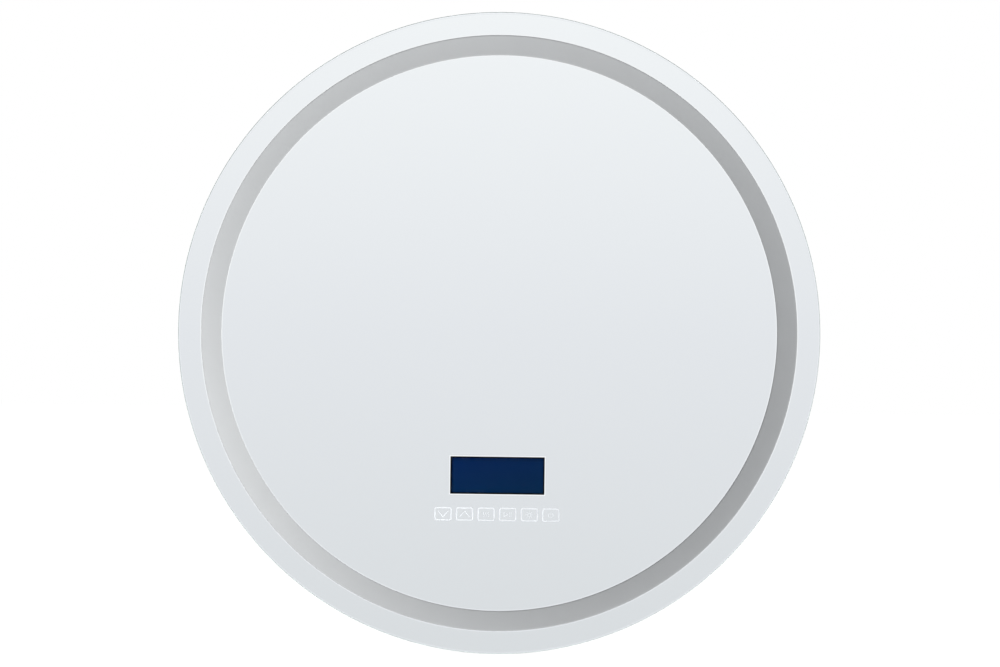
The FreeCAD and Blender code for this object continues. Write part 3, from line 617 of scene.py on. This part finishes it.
def dress(node, finish):
    """Give a piece of the frame this finish."""
    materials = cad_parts[node].data.materials
    materials.clear()
    materials.append(finish.material)


def moulded(name, dark, pale, rough=0.5, grain=0.6, depth=0.02):
    """Moulded plastic between two tones with a fine spark-eroded grain."""
    finish = Finish(name)
    return finish.cover(
        finish.mix(finish.noise(14.0, 3.0), dark, pale),
        rough + 0.15 * finish.noise(4.0),
        relief=finish.noise(grain),
        depth=depth,
    )


pocket_plastic = moulded("pocket_plastic", tone(196, 196, 192), tone(212, 212, 208))
for name in ("left", "right"):
    dress("hanger_pocket_" + name, pocket_plastic)


# ---------------------------------------------------------------- inlet and terminals
# A black nylon cable gland goes through the cover and is held by its own nut. Inside stand the
# supply's terminal block and the earth stud with its nut.
gland_nylon = moulded("gland_nylon", tone(24, 24, 26), tone(36, 36, 38), rough=0.42)


def smoothed_copy(node, name, width):
    """A copy of a piece of the frame with its sharp edges rounded."""
    piece = bpy.data.objects.new(name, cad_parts[node].data.copy())
    bpy.context.collection.objects.link(piece)
    piece.data.materials.clear()
    only(piece)
    bpy.ops.mesh.customdata_custom_splitnormals_clear()
    bpy.ops.object.mode_set(mode="EDIT")
    bpy.ops.mesh.select_all(action="SELECT")
    bpy.ops.mesh.remove_doubles(threshold=0.001 * mm)
    bpy.ops.mesh.dissolve_limited(angle_limit=math.radians(1))
    bpy.ops.mesh.normals_make_consistent(inside=False)
    bpy.ops.object.mode_set(mode="OBJECT")
    return softened(piece, width)


fitted(smoothed_copy("cable_gland", "cable_gland_moulding", 0.35), gland_nylon, "black_nylon",
       "cable_gland")
dress("terminal_block", moulded("terminal_polyamide", tone(214, 210, 196), tone(228, 224, 212)))

stud_brass = Finish("stud_brass")
stud_brass.cover(
    stud_brass.mix(stud_brass.noise(3.0), tone(196, 168, 104), tone(214, 188, 122)),
    0.25 + 0.1 * stud_brass.noise(1.0),
    metal=1.0,
    relief=(stud_brass.y % 0.7) / 0.7,
    depth=0.08,
)
dress("earth_stud", stud_brass)


# ---------------------------------------------------------------- LED driver
# The driver's case is extruded aluminium with cooling grooves, closed by two black end caps whose
# slotted ears are screwed to the cover.
driver_case = Finish("driver_extrusion")
draw_lines = driver_case.noise(0.5, 3.0, driver_case.stretched(0.01, 1, 1))
driver_case.cover(
    driver_case.mix(draw_lines, tone(160, 163, 166), tone(196, 198, 200)),
    0.34 + 0.16 * draw_lines,
    metal=1.0,
    relief=draw_lines,
    depth=0.02,
)
dress("driver_case", driver_case)
cap_plastic = moulded("driver_cap_plastic", tone(40, 40, 42), tone(54, 54, 56))
for name in ("left", "right"):
    dress("driver_cap_" + name, cap_plastic)


# ---------------------------------------------------------------- light channel
# The LED strip is stuck round the inside of the frame, one flat for each LED. It has a white
# solder resist, tinned pads between the LEDs, and white LEDs with a yellow phosphor window.
led_count = 40
pad_width = 0.012                       # radians
pad_low = 1.4                           # from the strip's middle
pad_high = 3.2
phosphor_half = 1.05
led_face = 286.3                        # the LEDs' front faces are nearer the axis than this
strip_middle = -10.0

strip_film = Finish("strip_film")
angle = strip_film.polar()[1]
pitch = math.tau / led_count
between = angle.from_middle(pitch)
off_middle = abs(strip_film.y - strip_middle)
pads = (abs(between - 2 * pad_width) < pad_width) * (off_middle < pad_high)
pads = pads * (off_middle > pad_low)
strip_film.cover(
    strip_film.mix(pads, strip_film.mix(strip_film.noise(12.0), tone(232, 232, 226),
                                        tone(243, 243, 240)), tone(190, 186, 172)),
    0.42 - 0.15 * pads,
    metal=pads * 0.8,
    relief=strip_film.noise(1.2) * 0.4 + pads,
    depth=0.03,
)
dress("led_strip", strip_film)

led_body = Finish("led_body")
lit_side = led_body.polar()[0] < led_face
window = lit_side * (abs(led_body.y - strip_middle) < phosphor_half)
phosphor = led_body.mix(led_body.noise(0.7), tone(238, 214, 96), tone(248, 228, 128))
led_body.cover(
    led_body.mix(window, tone(240, 240, 238), phosphor),
    0.5 - 0.3 * window,
    relief=window * -1.0,
    depth=0.1,
)
dress("led_chips", led_body)


# ---------------------------------------------------------------- frame
# An aluminium section rolled into a ring and satin anodised, its ends meeting in a fine seam at
# the bottom over a bonded splice plate. Foam pads bond its front flange to the silver's paint.
frame_radius = 290.0
frame_wall = 1.5
frame_front = -28.5
flange = 1.2
front_flange_edge = 281.5
cover_flange_edge = 276.5
cover_flange_back = -3.2
seam = 0.4
saw_reach = (40.0, 60.0)                # across the section, along Y and Z

wall_inside = frame_radius - frame_wall
frame_ring = spun("frame_section", [
    (frame_radius, 0, 0.45),
    (frame_radius, frame_front, 0.7),
    (front_flange_edge, frame_front, 0.3),
    (front_flange_edge, frame_front + flange, 0.3),
    (wall_inside, frame_front + flange, 0.5),
    (wall_inside, cover_flange_back - flange, 0.5),
    (cover_flange_edge, cover_flange_back - flange, 0.3),
    (cover_flange_edge, cover_flange_back, 0.3),
    (wall_inside, cover_flange_back, 0.5),
    (wall_inside, 0, 0.3),
])
bpy.ops.object.select_all(action="DESELECT")
bpy.ops.mesh.primitive_cube_add(size=1, location=(0, frame_front * mm / 2, -frame_radius * mm))
saw = bpy.context.object
saw.scale = (seam * mm, saw_reach[0] * mm, saw_reach[1] * mm)
bpy.ops.object.transform_apply(location=True, rotation=True, scale=True)
cut(frame_ring, [saw])

anodised = Finish("satin_anodised")
radius, angle = anodised.polar()
round_place = anodised.add("CombineXYZ", {}, {0: angle * 6.0, 1: anodised.y, 2: radius})
grain = anodised.noise(0.35, 3.0, round_place)
anodised.cover(
    anodised.mix(grain, tone(196, 198, 200), tone(218, 220, 222)),
    0.34 + 0.14 * grain,
    metal=1.0,
    relief=grain,
    depth=0.01,
)
fitted(frame_ring, anodised, "frame_aluminium", "frame_ring")
dress("frame_splice", anodised)

tape_foam = Finish("tape_foam")
cells = tape_foam.cells(2.2)
tape_foam.cover(
    tape_foam.mix(cells, tone(206, 206, 202), tone(232, 232, 228)),
    0.9,
    relief=cells,
    depth=0.15,
)
dress("glass_tape_pads", tape_foam)


# ---------------------------------------------------------------- clock display
# Behind its window in the silver lie a black bezel, the unlit navy panel, its light box and its
# board, in a black tray taped to the glass.
window_width = 88.3
window_height = 35.1
window_drop = 133.3
trace_pitch = 1.9
trace_width = 0.44

panel_navy = Finish("panel_navy")
upper_left = 0.5 + 0.022 * (panel_navy.z + window_drop) - 0.004 * panel_navy.x
panel_navy.cover(
    panel_navy.mix(upper_left, (0.0003, 0.0225, 0.082, 1.0), (0.0006, 0.0180, 0.100, 1.0)),
    0.22 + 0.04 * panel_navy.noise(3.0),
    relief=panel_navy.noise(6.0),
    depth=0.004,
    Specular_IOR_Level=0.03,
)
dress("lcd_panel", panel_navy)
bezel = Finish("bezel_plastic")
bezel.cover(
    bezel.mix(bezel.noise(3.0), tone(5, 6, 9), tone(10, 11, 15)),
    0.6 + 0.1 * bezel.noise(1.0),
    relief=bezel.noise(0.5),
    depth=0.01,
    Specular_IOR_Level=0.05,
)
dress("display_bezel", bezel)
housing_plastic = moulded("housing_plastic", tone(44, 44, 47), tone(56, 56, 60))
dress("display_housing", housing_plastic)
dress("display_backlight", moulded("light_box_white", tone(232, 232, 232), tone(244, 244, 244)))

circuit_green = Finish("circuit_green")
which = circuit_green.add("SeparateColor", {}, {0: circuit_green.cells(0.16, "Color")}) > 0.5
stripes_x = circuit_green.x.from_middle(trace_pitch) < trace_width / 2
stripes_z = circuit_green.z.from_middle(trace_pitch) < trace_width / 2
traces = which * stripes_x + (1 - which) * stripes_z
holes = circuit_green.cells(0.3) < 0.13
resist = circuit_green.mix(traces, tone(22, 92, 52), tone(34, 116, 66))
circuit_green.cover(
    circuit_green.mix(holes, resist, tone(206, 186, 120)),
    0.32,
    metal=holes * 0.9,
    relief=traces * 0.6 + holes,
    depth=0.035,
)
for node in ("display_board", "touch_board", "control_board"):
    dress(node, circuit_green)


# ---------------------------------------------------------------- touch keys
# An opal acrylic bar shows white through the lines etched in the silver. Copper pads behind it
# feel the finger, and the touch board lies behind them.
opal = Finish("opal_acrylic")
opal.cover(
    opal.mix(opal.noise(9.0), tone(240, 243, 246), tone(248, 250, 252)),
    0.35 + 0.1 * opal.noise(2.0),
    relief=opal.noise(1.0),
    depth=0.006,
)
dress("key_light_guide", opal)

pad_copper = Finish("pad_copper")
etched = pad_copper.noise(1.2, 3.0)
pad_copper.cover(
    pad_copper.mix(etched, tone(198, 130, 96), tone(220, 152, 116)),
    0.3 + 0.15 * etched,
    metal=1.0,
    relief=etched,
    depth=0.01,
)
dress("touch_pads", pad_copper)


# ---------------------------------------------------------------- control box and demister
# The radio and clock sit in a moulded grey box with a lid. The demister is a laminated film on
# the silver's back with a heating track that runs to and fro, fed through a small terminal.
control_plastic = moulded("control_plastic", tone(196, 196, 192), tone(210, 210, 206))
dress("control_box", control_plastic)
dress("control_lid", control_plastic)

film_middle = 50.0
track_pitch = 9.0
track_pairs = 16
track_reach = 103.0                     # up and down from the film's middle
half_track = 0.9

heater = Finish("heater_film")
across = abs(heater.x) < track_pairs * track_pitch
along = abs(heater.z - film_middle)
runs = (heater.x.from_middle(track_pitch) < half_track) * (along < track_reach)
turns = abs(along - (track_reach - half_track)) < half_track
shifted = heater.x - track_pitch * (heater.z > film_middle)
turns = turns * (shifted.from_middle(2 * track_pitch) < track_pitch / 2 + half_track)
track = across * runs.math("MAXIMUM", runs, turns)
heater.cover(
    heater.mix(track, heater.mix(heater.noise(30.0), tone(150, 152, 154), tone(170, 172, 174)),
               tone(96, 94, 92)),
    0.3 + 0.2 * heater.noise(5.0),
    relief=track + 0.4 * heater.noise(20.0),
    depth=0.06,
)
dress("demister_pad", heater)
dress("demister_terminal", housing_plastic)


# ---------------------------------------------------------------- speakers
# Each speaker sounds through slots in the cover: a woven mesh, a foam gasket, a pressed basket
# with a rubber surround, a pressed paper cone on its copper coil, and the magnet.
thread_pitch = 0.8
winding_pitch = 0.28
cone_rim = (55.2, 17.4, 8.2)            # width, height and rounding
cone_foot = -13.55
cone_board = 0.45
cap_closing = 0.7                       # radius of the hole that is closed on the dust cap
coil_foot = -20.2
coil_radius = 6.2
coil_wall = 0.6
roll_mouth = (56.1, 18.1, 8.65)
roll_radius = 0.95
roll_steps = 10
surround_rest = -8.8
surround_reach = 3.75                   # from the roll's mouth to the surround's rim
surround_wall = 0.35

woven = Finish("woven_mesh")
warp = woven.x.from_middle(thread_pitch)
thread = warp.math("MAXIMUM", warp, woven.z.from_middle(thread_pitch)) * (2 / thread_pitch)
woven.cover(
    woven.mix(thread, tone(14, 14, 15), tone(62, 62, 64)),
    0.75,
    relief=thread,
    depth=0.12,
)
gasket_foam = Finish("gasket_foam")
bubbles = gasket_foam.cells(1.6)
gasket_foam.cover(gasket_foam.mix(bubbles, tone(30, 30, 31), tone(58, 58, 60)), 0.95,
                  relief=bubbles, depth=0.2)
basket_steel = moulded("basket_enamel", tone(38, 38, 40), tone(50, 50, 52), rough=0.35, grain=1.4)
surround_rubber = moulded("surround_rubber", tone(28, 28, 29), tone(38, 38, 39), rough=0.65)

pulp = Finish("pressed_pulp")
fibres = pulp.noise(0.8, 6.0)
pulp.cover(pulp.mix(fibres, tone(44, 43, 42), tone(78, 76, 74)), 0.9, relief=fibres, depth=0.1)

winding = Finish("coil_winding")
turn = winding.y.from_middle(winding_pitch) / (winding_pitch / 2)
winding.cover(
    winding.mix(turn, tone(150, 84, 50), tone(206, 128, 84)),
    0.3,
    metal=1.0,
    relief=1 - turn,
    depth=0.05,
)
magnet_iron = Finish("magnet_iron")
cloudy = magnet_iron.noise(5.0, 4.0)
magnet_iron.cover(
    magnet_iron.mix(cloudy, tone(160, 162, 166), tone(190, 190, 186)),
    0.3 + 0.2 * cloudy,
    metal=1.0,
    relief=cloudy,
    depth=0.01,
)


def lofted(name, loops):
    """A skin over loops of (x, y, z) points, each loop with as many points."""
    count = len(loops[0])
    bpy.ops.object.select_all(action="DESELECT")
    bpy.ops.mesh.primitive_grid_add(x_subdivisions=count, y_subdivisions=len(loops) - 1, size=mm)
    piece = bpy.context.object
    piece.name = piece.data.name = name
    points = [loop[number % count] for loop in loops for number in range(count + 1)]
    for vertex, point in zip(piece.data.vertices, points):
        vertex.co = Vector(point) * mm
    bpy.ops.object.mode_set(mode="EDIT")
    bpy.ops.mesh.select_all(action="SELECT")
    bpy.ops.mesh.remove_doubles(threshold=0.001 * mm)
    bpy.ops.mesh.normals_make_consistent(inside=False)
    bpy.ops.object.mode_set(mode="OBJECT")
    return piece


def oval(y, width, height, rounding=None):
    """A rounded loop about the left speaker's axis."""
    return [(a, y, b) for a, b in bar(width, height, rounding, -speaker_x, -speaker_drop, steps=8)]


def pressed(piece, thickness):
    """Give a skin its thickness, half of it on each side."""
    return applied(piece, "SOLIDIFY", thickness=thickness * mm, offset=0.0, use_even_offset=True)


width, height, rounding = cone_rim
cap = cone_foot + cone_board            # foot of the dust cap
cone = lofted("paper_cone", [
    oval(-8.45, width, height, rounding),
    oval(-8.65, width - 1.4, height - 1.2, rounding - 0.6),
    oval(-9.9, 44.0, 15.6, 7.6),
    oval(-11.3, 31.0, 14.8, 7.2),
    oval(-12.6, 19.0, 14.0, 6.9),
    oval(cap, 13.6, 13.4, 6.6),
    oval(cap + 0.2, 12.6, 12.6, 6.25),
    oval(cap + 1.3, 10.6, 10.6, 5.25),
    oval(cap + 2.1, 7.4, 7.4, 3.65),
    oval(cap + 2.5, 3.4, 3.4, 1.65),
    oval(cap + 2.6, 0.8, 0.8, 0.35),
])
only(cone)
bpy.ops.object.mode_set(mode="EDIT")
bpy.ops.mesh.select_all(action="DESELECT")
bpy.ops.object.mode_set(mode="OBJECT")
axis = Vector((-speaker_x, 0, -speaker_drop))
for edge in cone.data.edges:
    ends = [cone.data.vertices[number].co / mm - axis for number in edge.vertices]
    edge.select = all(math.hypot(end.x, end.z) < cap_closing for end in ends)
bpy.ops.object.mode_set(mode="EDIT")
bpy.ops.mesh.edge_face_add()
bpy.ops.mesh.select_all(action="SELECT")
bpy.ops.mesh.normals_make_consistent(inside=False)
bpy.ops.object.mode_set(mode="OBJECT")
pressed(cone, cone_board)

outer, inner = 2 * coil_radius, 2 * (coil_radius - coil_wall)
ends = [(outer, cone_foot), (outer, coil_foot), (inner, coil_foot), (inner, cone_foot)]
coil = lofted("wound_coil", [oval(y, across, across) for across, y in ends + ends[:1]])

width, height, rounding = roll_mouth
roll = [
    (roll_radius * (1 + math.cos(turn)), roll_radius * math.sin(turn))
    for turn in [math.pi * step / roll_steps for step in range(roll_steps + 1)]
]
surround = pressed(lofted("rolled_surround", [
    oval(surround_rest + rise, width + 2 * reach, height + 2 * reach, rounding + reach)
    for reach, rise in [(surround_reach, 0.0)] + roll
]), surround_wall)

for piece, finish, slot, node, body in (
    (cone, pulp, "cone_paper", "speaker_cone_", "cone_"),
    (coil, winding, "coil_copper", "voice_coil_", "cone_"),
    (surround, surround_rubber, "speaker_rubber", "speaker_surround_", None),
):
    other = copied(piece, piece.name + "_right", 2 * speaker_x)
    piece.name = piece.data.name = piece.name + "_left"
    for each, side in ((piece, "left"), (other, "right")):
        fitted(each, finish, slot, node + side, body=body + side if body else "mirror", angle=50)

for side in ("left", "right"):
    dress("speaker_mesh_" + side, woven)
    dress("speaker_gasket_" + side, gasket_foam)
    dress("speaker_basket_" + side, basket_steel)
    dress("speaker_magnet_" + side, magnet_iron)


# ---------------------------------------------------------------- leads
# Flat white twin leads lie on the cover under moulded saddles. Grey ribbons join the control box,
# the display and the touch board.
lead_skin = Finish("lead_skin")
lead_skin.cover(
    lead_skin.mix(lead_skin.noise(18.0), tone(222, 222, 217), tone(236, 236, 232)),
    0.45 + 0.1 * lead_skin.noise(3.0),
    relief=lead_skin.noise(2.0),
    depth=0.02,
)
for name in ("mains", "led", "control", "demister", "speaker_left", "speaker_right"):
    dress("lead_" + name, lead_skin)
dress("lead_clips", moulded("clip_nylon", tone(214, 214, 208), tone(226, 226, 220)))

wire_pitch = 1.27
red_wire = -5.9                         # the ribbons are red on this side of x

ribbon = Finish("ribbon_grey")
groove = ribbon.x.from_middle(wire_pitch) / (wire_pitch / 2)
ribbon.cover(
    ribbon.mix(ribbon.x < red_wire, ribbon.mix(groove, tone(176, 178, 180), tone(146, 148, 151)),
               tone(172, 58, 52)),
    0.5,
    relief=1 - groove * groove,
    depth=0.2,
)
dress("display_ribbon", ribbon)
dress("touch_ribbon", ribbon)


# ---------------------------------------------------------------- light band
# The silver is taken off a ring of the glass, which is sandblasted and backed with white film.
# Behind the glass it makes a shallow tray whose sloping edges catch the light on the far side.
band_inner = 260.0
band_outer = 279.0
silver_front = -30.03                   # just inside the glass, so that no two faces coincide
silver_back = -29.8
film_front = -29.97
film_back = -29.1
film_lap = 0.3                          # behind the silver on each side
edge_slope = 1.15                       # width of the tray's sloping edges
tray_depth = 0.35

band = spun("frosted_band", [
    (band_inner - film_lap, film_front, 0),
    (band_inner + edge_slope, film_front + tray_depth, 0.2),
    (band_outer - edge_slope, film_front + tray_depth, 0.2),
    (band_outer + film_lap, film_front, 0),
    (band_outer + film_lap, film_back, 0.1),
    (band_inner - film_lap, film_back, 0.1),
])
frost = Finish("sandblasted_band")
# Painted shade: the film is darker at the band's inner edge and paler towards its outer edge,
# mixed with random clouding and the blast's grain.
painted_light_outward = (frost.polar()[0] - band_inner) / (band_outer - band_inner)
blast = frost.noise(0.45, 3.0)
cloud = frost.noise(26.0, 2.0)
pale = 0.42 * painted_light_outward + 0.30 * cloud + 0.28 * blast
frost.cover(
    frost.mix(pale, tone(196, 196, 197), tone(212, 212, 213)),
    0.85,
    relief=blast,
    depth=0.03,
    Specular_IOR_Level=0.2,
)
fitted(band, frost, "diffuser", "band_diffuser")


# ---------------------------------------------------------------- silver
# The mirror's silver, sealed with grey paint at the back. The window and the lines of the keys
# are etched out of it. A painted highlight, lighter silver with its normal tipped upward, runs
# as a fine line round the band and the window.
key_count = 6
key_pitch = 20.2
key_drop = 169.7
key_width = 15.9
key_height = 12.2
key_line = 0.9
key_rounding = 2.1
silver_rim = 299.0
painted_highlight_width = 0.9                       # width of the painted highlight along the edges
highlight_tilt = 0.14
band_highlight_share = 0.4                        # of that painted highlight and its tilt, beside the band

silver = Finish("silver")
# Painted highlight: the silver is lighter, and its normal tipped up, along the band's edges and
# round the window.
from_middle = abs(silver.polar()[0] - (band_inner + band_outer) / 2)
from_band = abs(from_middle - (band_outer - band_inner) / 2)
highlight_beside_band = (from_band < painted_highlight_width) * band_highlight_share
inside_x = abs(silver.x) < window_width / 2 + painted_highlight_width
inside_z = abs(silver.z + window_drop) < window_height / 2 + painted_highlight_width
painted_edge_highlight = highlight_beside_band.math("MAXIMUM", highlight_beside_band, inside_x * inside_z)
tilt = silver.add("CombineXYZ", {}, {2: painted_edge_highlight * highlight_tilt})
facing = silver.add("NewGeometry", output="Normal")
facing = silver.add("VectorMath", {"operation": "ADD"}, {0: facing, 1: tilt})
facing = silver.add("VectorMath", {"operation": "NORMALIZE"}, {0: facing})
silver.cover(
    silver.mix(painted_edge_highlight, (0.945, 0.945, 0.945, 1.0), (0.985, 0.985, 0.985, 1.0)),
    0.012 + 0.006 * silver.noise(30.0),
    metal=1.0,
    Normal=facing,
)

back_paint = Finish("silver_back_paint")
rolled = back_paint.noise(3.0, 3.0, back_paint.stretched(1, 1, 0.12))
back_paint.cover(
    back_paint.mix(rolled, tone(112, 122, 118), tone(130, 139, 135)),
    0.45 + 0.12 * back_paint.noise(20.0),
    relief=rolled,
    depth=0.02,
)


def silvered(piece):
    """Silver on the front of a piece, and paint on its back and edges."""
    piece.data.materials.append(silver.material)
    piece.data.materials.append(back_paint.material)
    for face in piece.data.polygons:
        face.material_index = 0 if face.normal.y < -0.9 else 1
    return piece


def circle(radius, steps=256):
    """Points of a circle about the origin."""
    return [
        (radius * math.cos(math.tau * step / steps), radius * math.sin(math.tau * step / steps))
        for step in range(steps)
    ]


key_places = [(number - (key_count - 1) / 2) * key_pitch for number in range(key_count)]
etched = [plate("window", bar(window_width, window_height, 0.5, 0, -window_drop),
                silver_back + beyond, silver_front - beyond)]
etched += [
    plate("key", bar(key_width, key_height, key_rounding, x, -key_drop),
          silver_back + beyond, silver_front - beyond)
    for x in key_places
]
centre = cut(plate("silver_centre", circle(band_inner), silver_back, silver_front), etched)
fitted(silvered(centre), silver, "silver", "silver_coat_centre")

rim = spun("silver_rim", [
    (band_outer, silver_back, 0),
    (band_outer, silver_front, 0),
    (silver_rim, silver_front, 0),
    (silver_rim, silver_back, 0),
])
fitted(silvered(rim), silver, "silver", "silver_coat_rim")

islands = [
    plate("island", bar(key_width - 2 * key_line, key_height - 2 * key_line,
                        key_rounding - key_line, x, -key_drop), silver_back, silver_front)
    for x in key_places
]
fitted(silvered(joined("silver_islands", islands)), silver, "silver", "silver_key_islands")


# ---------------------------------------------------------------- key marks
# The etched lines show the opal bar as thin white lines: a rounded frame round each key and a
# plain sign in it, for down, up, heat, play, lamp and power. The lines are painted with a faint
# glow, though no lamp lights them.
mark_front = -30.05
mark_back = -29.9


def arc(radius, start, end, steps=10, x=0.0, z=0.0):
    """Points of an arc, its angles in degrees."""
    angles = [math.radians(start + (end - start) * step / steps) for step in range(steps + 1)]
    return [(x + radius * math.cos(angle), z + radius * math.sin(angle)) for angle in angles]


def wave(x):
    """One rising line of warm air."""
    return [(x + 0.55 * math.sin(step * math.pi / 4), -2.2 + 0.55 * step) for step in range(9)]


def stroke(path, width):
    """Outline of a line of this width along points of (x, z)."""
    left, right = [], []
    for number, point in enumerate(path):
        here = Vector(point)
        before = Vector(path[max(number - 1, 0)])
        after = Vector(path[min(number + 1, len(path) - 1)])
        way_in, way_out = (here - before).normalized(), (after - here).normalized()
        way = (way_in + way_out).normalized()
        across = Vector((-way.y, way.x)) * width / 2 / way.dot(way_out if number == 0 else way_in)
        left.append(here + across)
        right.append(here - across)
    return left + right[::-1]


def loop(points, width):
    """A flat line of this width just inside a closed outline."""
    piece = outline("loop", points, upright=True)
    bpy.ops.object.mode_set(mode="EDIT")
    bpy.ops.mesh.select_all(action="SELECT")
    bpy.ops.transform.translate(value=(0, mark_back * mm, 0))
    bpy.ops.mesh.inset(thickness=width * mm)
    bpy.ops.mesh.delete(type="FACE")
    bpy.ops.mesh.select_all(action="SELECT")
    height = (mark_front - mark_back) * mm
    bpy.ops.mesh.extrude_region_move(TRANSFORM_OT_translate={"value": (0, height, 0)})
    bpy.ops.mesh.select_all(action="SELECT")
    bpy.ops.mesh.normals_make_consistent(inside=False)
    bpy.ops.object.mode_set(mode="OBJECT")
    return piece


lamp_rays = [
    [(reach * math.cos(angle), reach * math.sin(angle)) for reach in (2.3, 3.3)]
    for angle in (math.tau * number / 8 for number in range(8))
]
signs = [                               # width of the line, closed lines, open lines
    (0.55, [], [[(-4.7, 2.5), (0, -2.8), (4.7, 2.5)]]),
    (0.55, [], [[(-4.7, -2.5), (0, 2.8), (4.7, -2.5)]]),
    (0.35, [], [wave(-2.2), wave(0), wave(2.2)]),
    (0.35, [[(-3.6, 2.2), (-3.6, -2.2), (0.2, 0)]], [[(1.8, 2.2), (1.8, -2.2)],
                                                    [(3.2, 2.2), (3.2, -2.2)]]),
    (0.35, [circle(1.7, 20)], lamp_rays),
    (0.35, [], [arc(2.3, 125, 415, 14, z=-0.2), [(0, 0.4), (0, 2.9)]]),
]
marks = []
for x, (width, closed, opened) in zip(key_places, signs):
    marks.append(loop(bar(key_width, key_height, key_rounding, x, -key_drop), key_line))
    for path in closed:
        marks.append(loop([(x + a, b - key_drop) for a, b in path], width))
    for path in opened:
        line = stroke([(x + a, b - key_drop) for a, b in path], width)
        marks.append(plate("stroke", line, mark_back, mark_front))

# Painted glow: a weak emission makes the lines brighter than the lamps alone would.
mark_white_painted_glow = Finish("mark_white_painted_glow")
mark_white_painted_glow.cover(
    mark_white_painted_glow.mix(mark_white_painted_glow.noise(2.0), tone(244, 247, 250), tone(251, 252, 254)),
    0.6,
    relief=mark_white_painted_glow.noise(0.5),
    depth=0.01,
    Emission_Color=(0.90, 0.95, 1.0, 1.0),
    Emission_Strength=0.25,
)
fitted(joined("key_marks", marks), mark_white_painted_glow, "guide_opal")


# ---------------------------------------------------------------- glass
# Float glass, cut round, with ground and polished arrises. Its faces are clear and its edge shows
# the green of the glass.
glass_radius = 300.0
glass_back = -30.0
front_arris = 1.0
back_arris = 0.5

glass = spun("glass_sheet", [
    (0, glass_back, 0),
    (glass_radius - back_arris, glass_back, 0),
    (glass_radius, glass_back - back_arris, 0.25),
    (glass_radius, cad_low.y / mm + front_arris, 0.3),
    (glass_radius - front_arris, cad_low.y / mm, 0.3),
    (0, cad_low.y / mm, 0),
])


def glassy(name, tint, rough, bend, clearness):
    """Glass that lets the lamps' light through to what lies behind it."""
    finish = Finish(name)
    ray = finish.add("LightPath")
    sockets = {"Base Color": tint, "Roughness": rough(finish), "IOR": bend}
    body = finish.add("BsdfPrincipled", {}, {**sockets, "Transmission Weight": clearness})
    passed = finish.add("BsdfTransparent", {}, {"Color": tint})
    mixed = finish.add("MixShader", {}, {0: ray.out("Is Shadow Ray"), 1: body, 2: passed})
    finish.add("OutputMaterial", {}, {"Surface": mixed})
    return finish


clear = glassy("clear_glass", (0.985, 0.992, 0.990, 1.0),
               lambda finish: 0.002 + 0.003 * finish.noise(60.0), 1.1, 1.0)
ground = glassy("ground_edge", (0.80, 0.89, 0.86, 1.0),
                lambda finish: 0.35 + 0.15 * finish.noise(2.0), 1.5, 0.2)
glass.data.materials.append(clear.material)
glass.data.materials.append(ground.material)
for face in glass.data.polygons:
    face.material_index = 0 if face.normal.y < -0.4 or face.normal.y > 0.99 else 1
fitted(glass, clear, "glass", "mirror_glass")
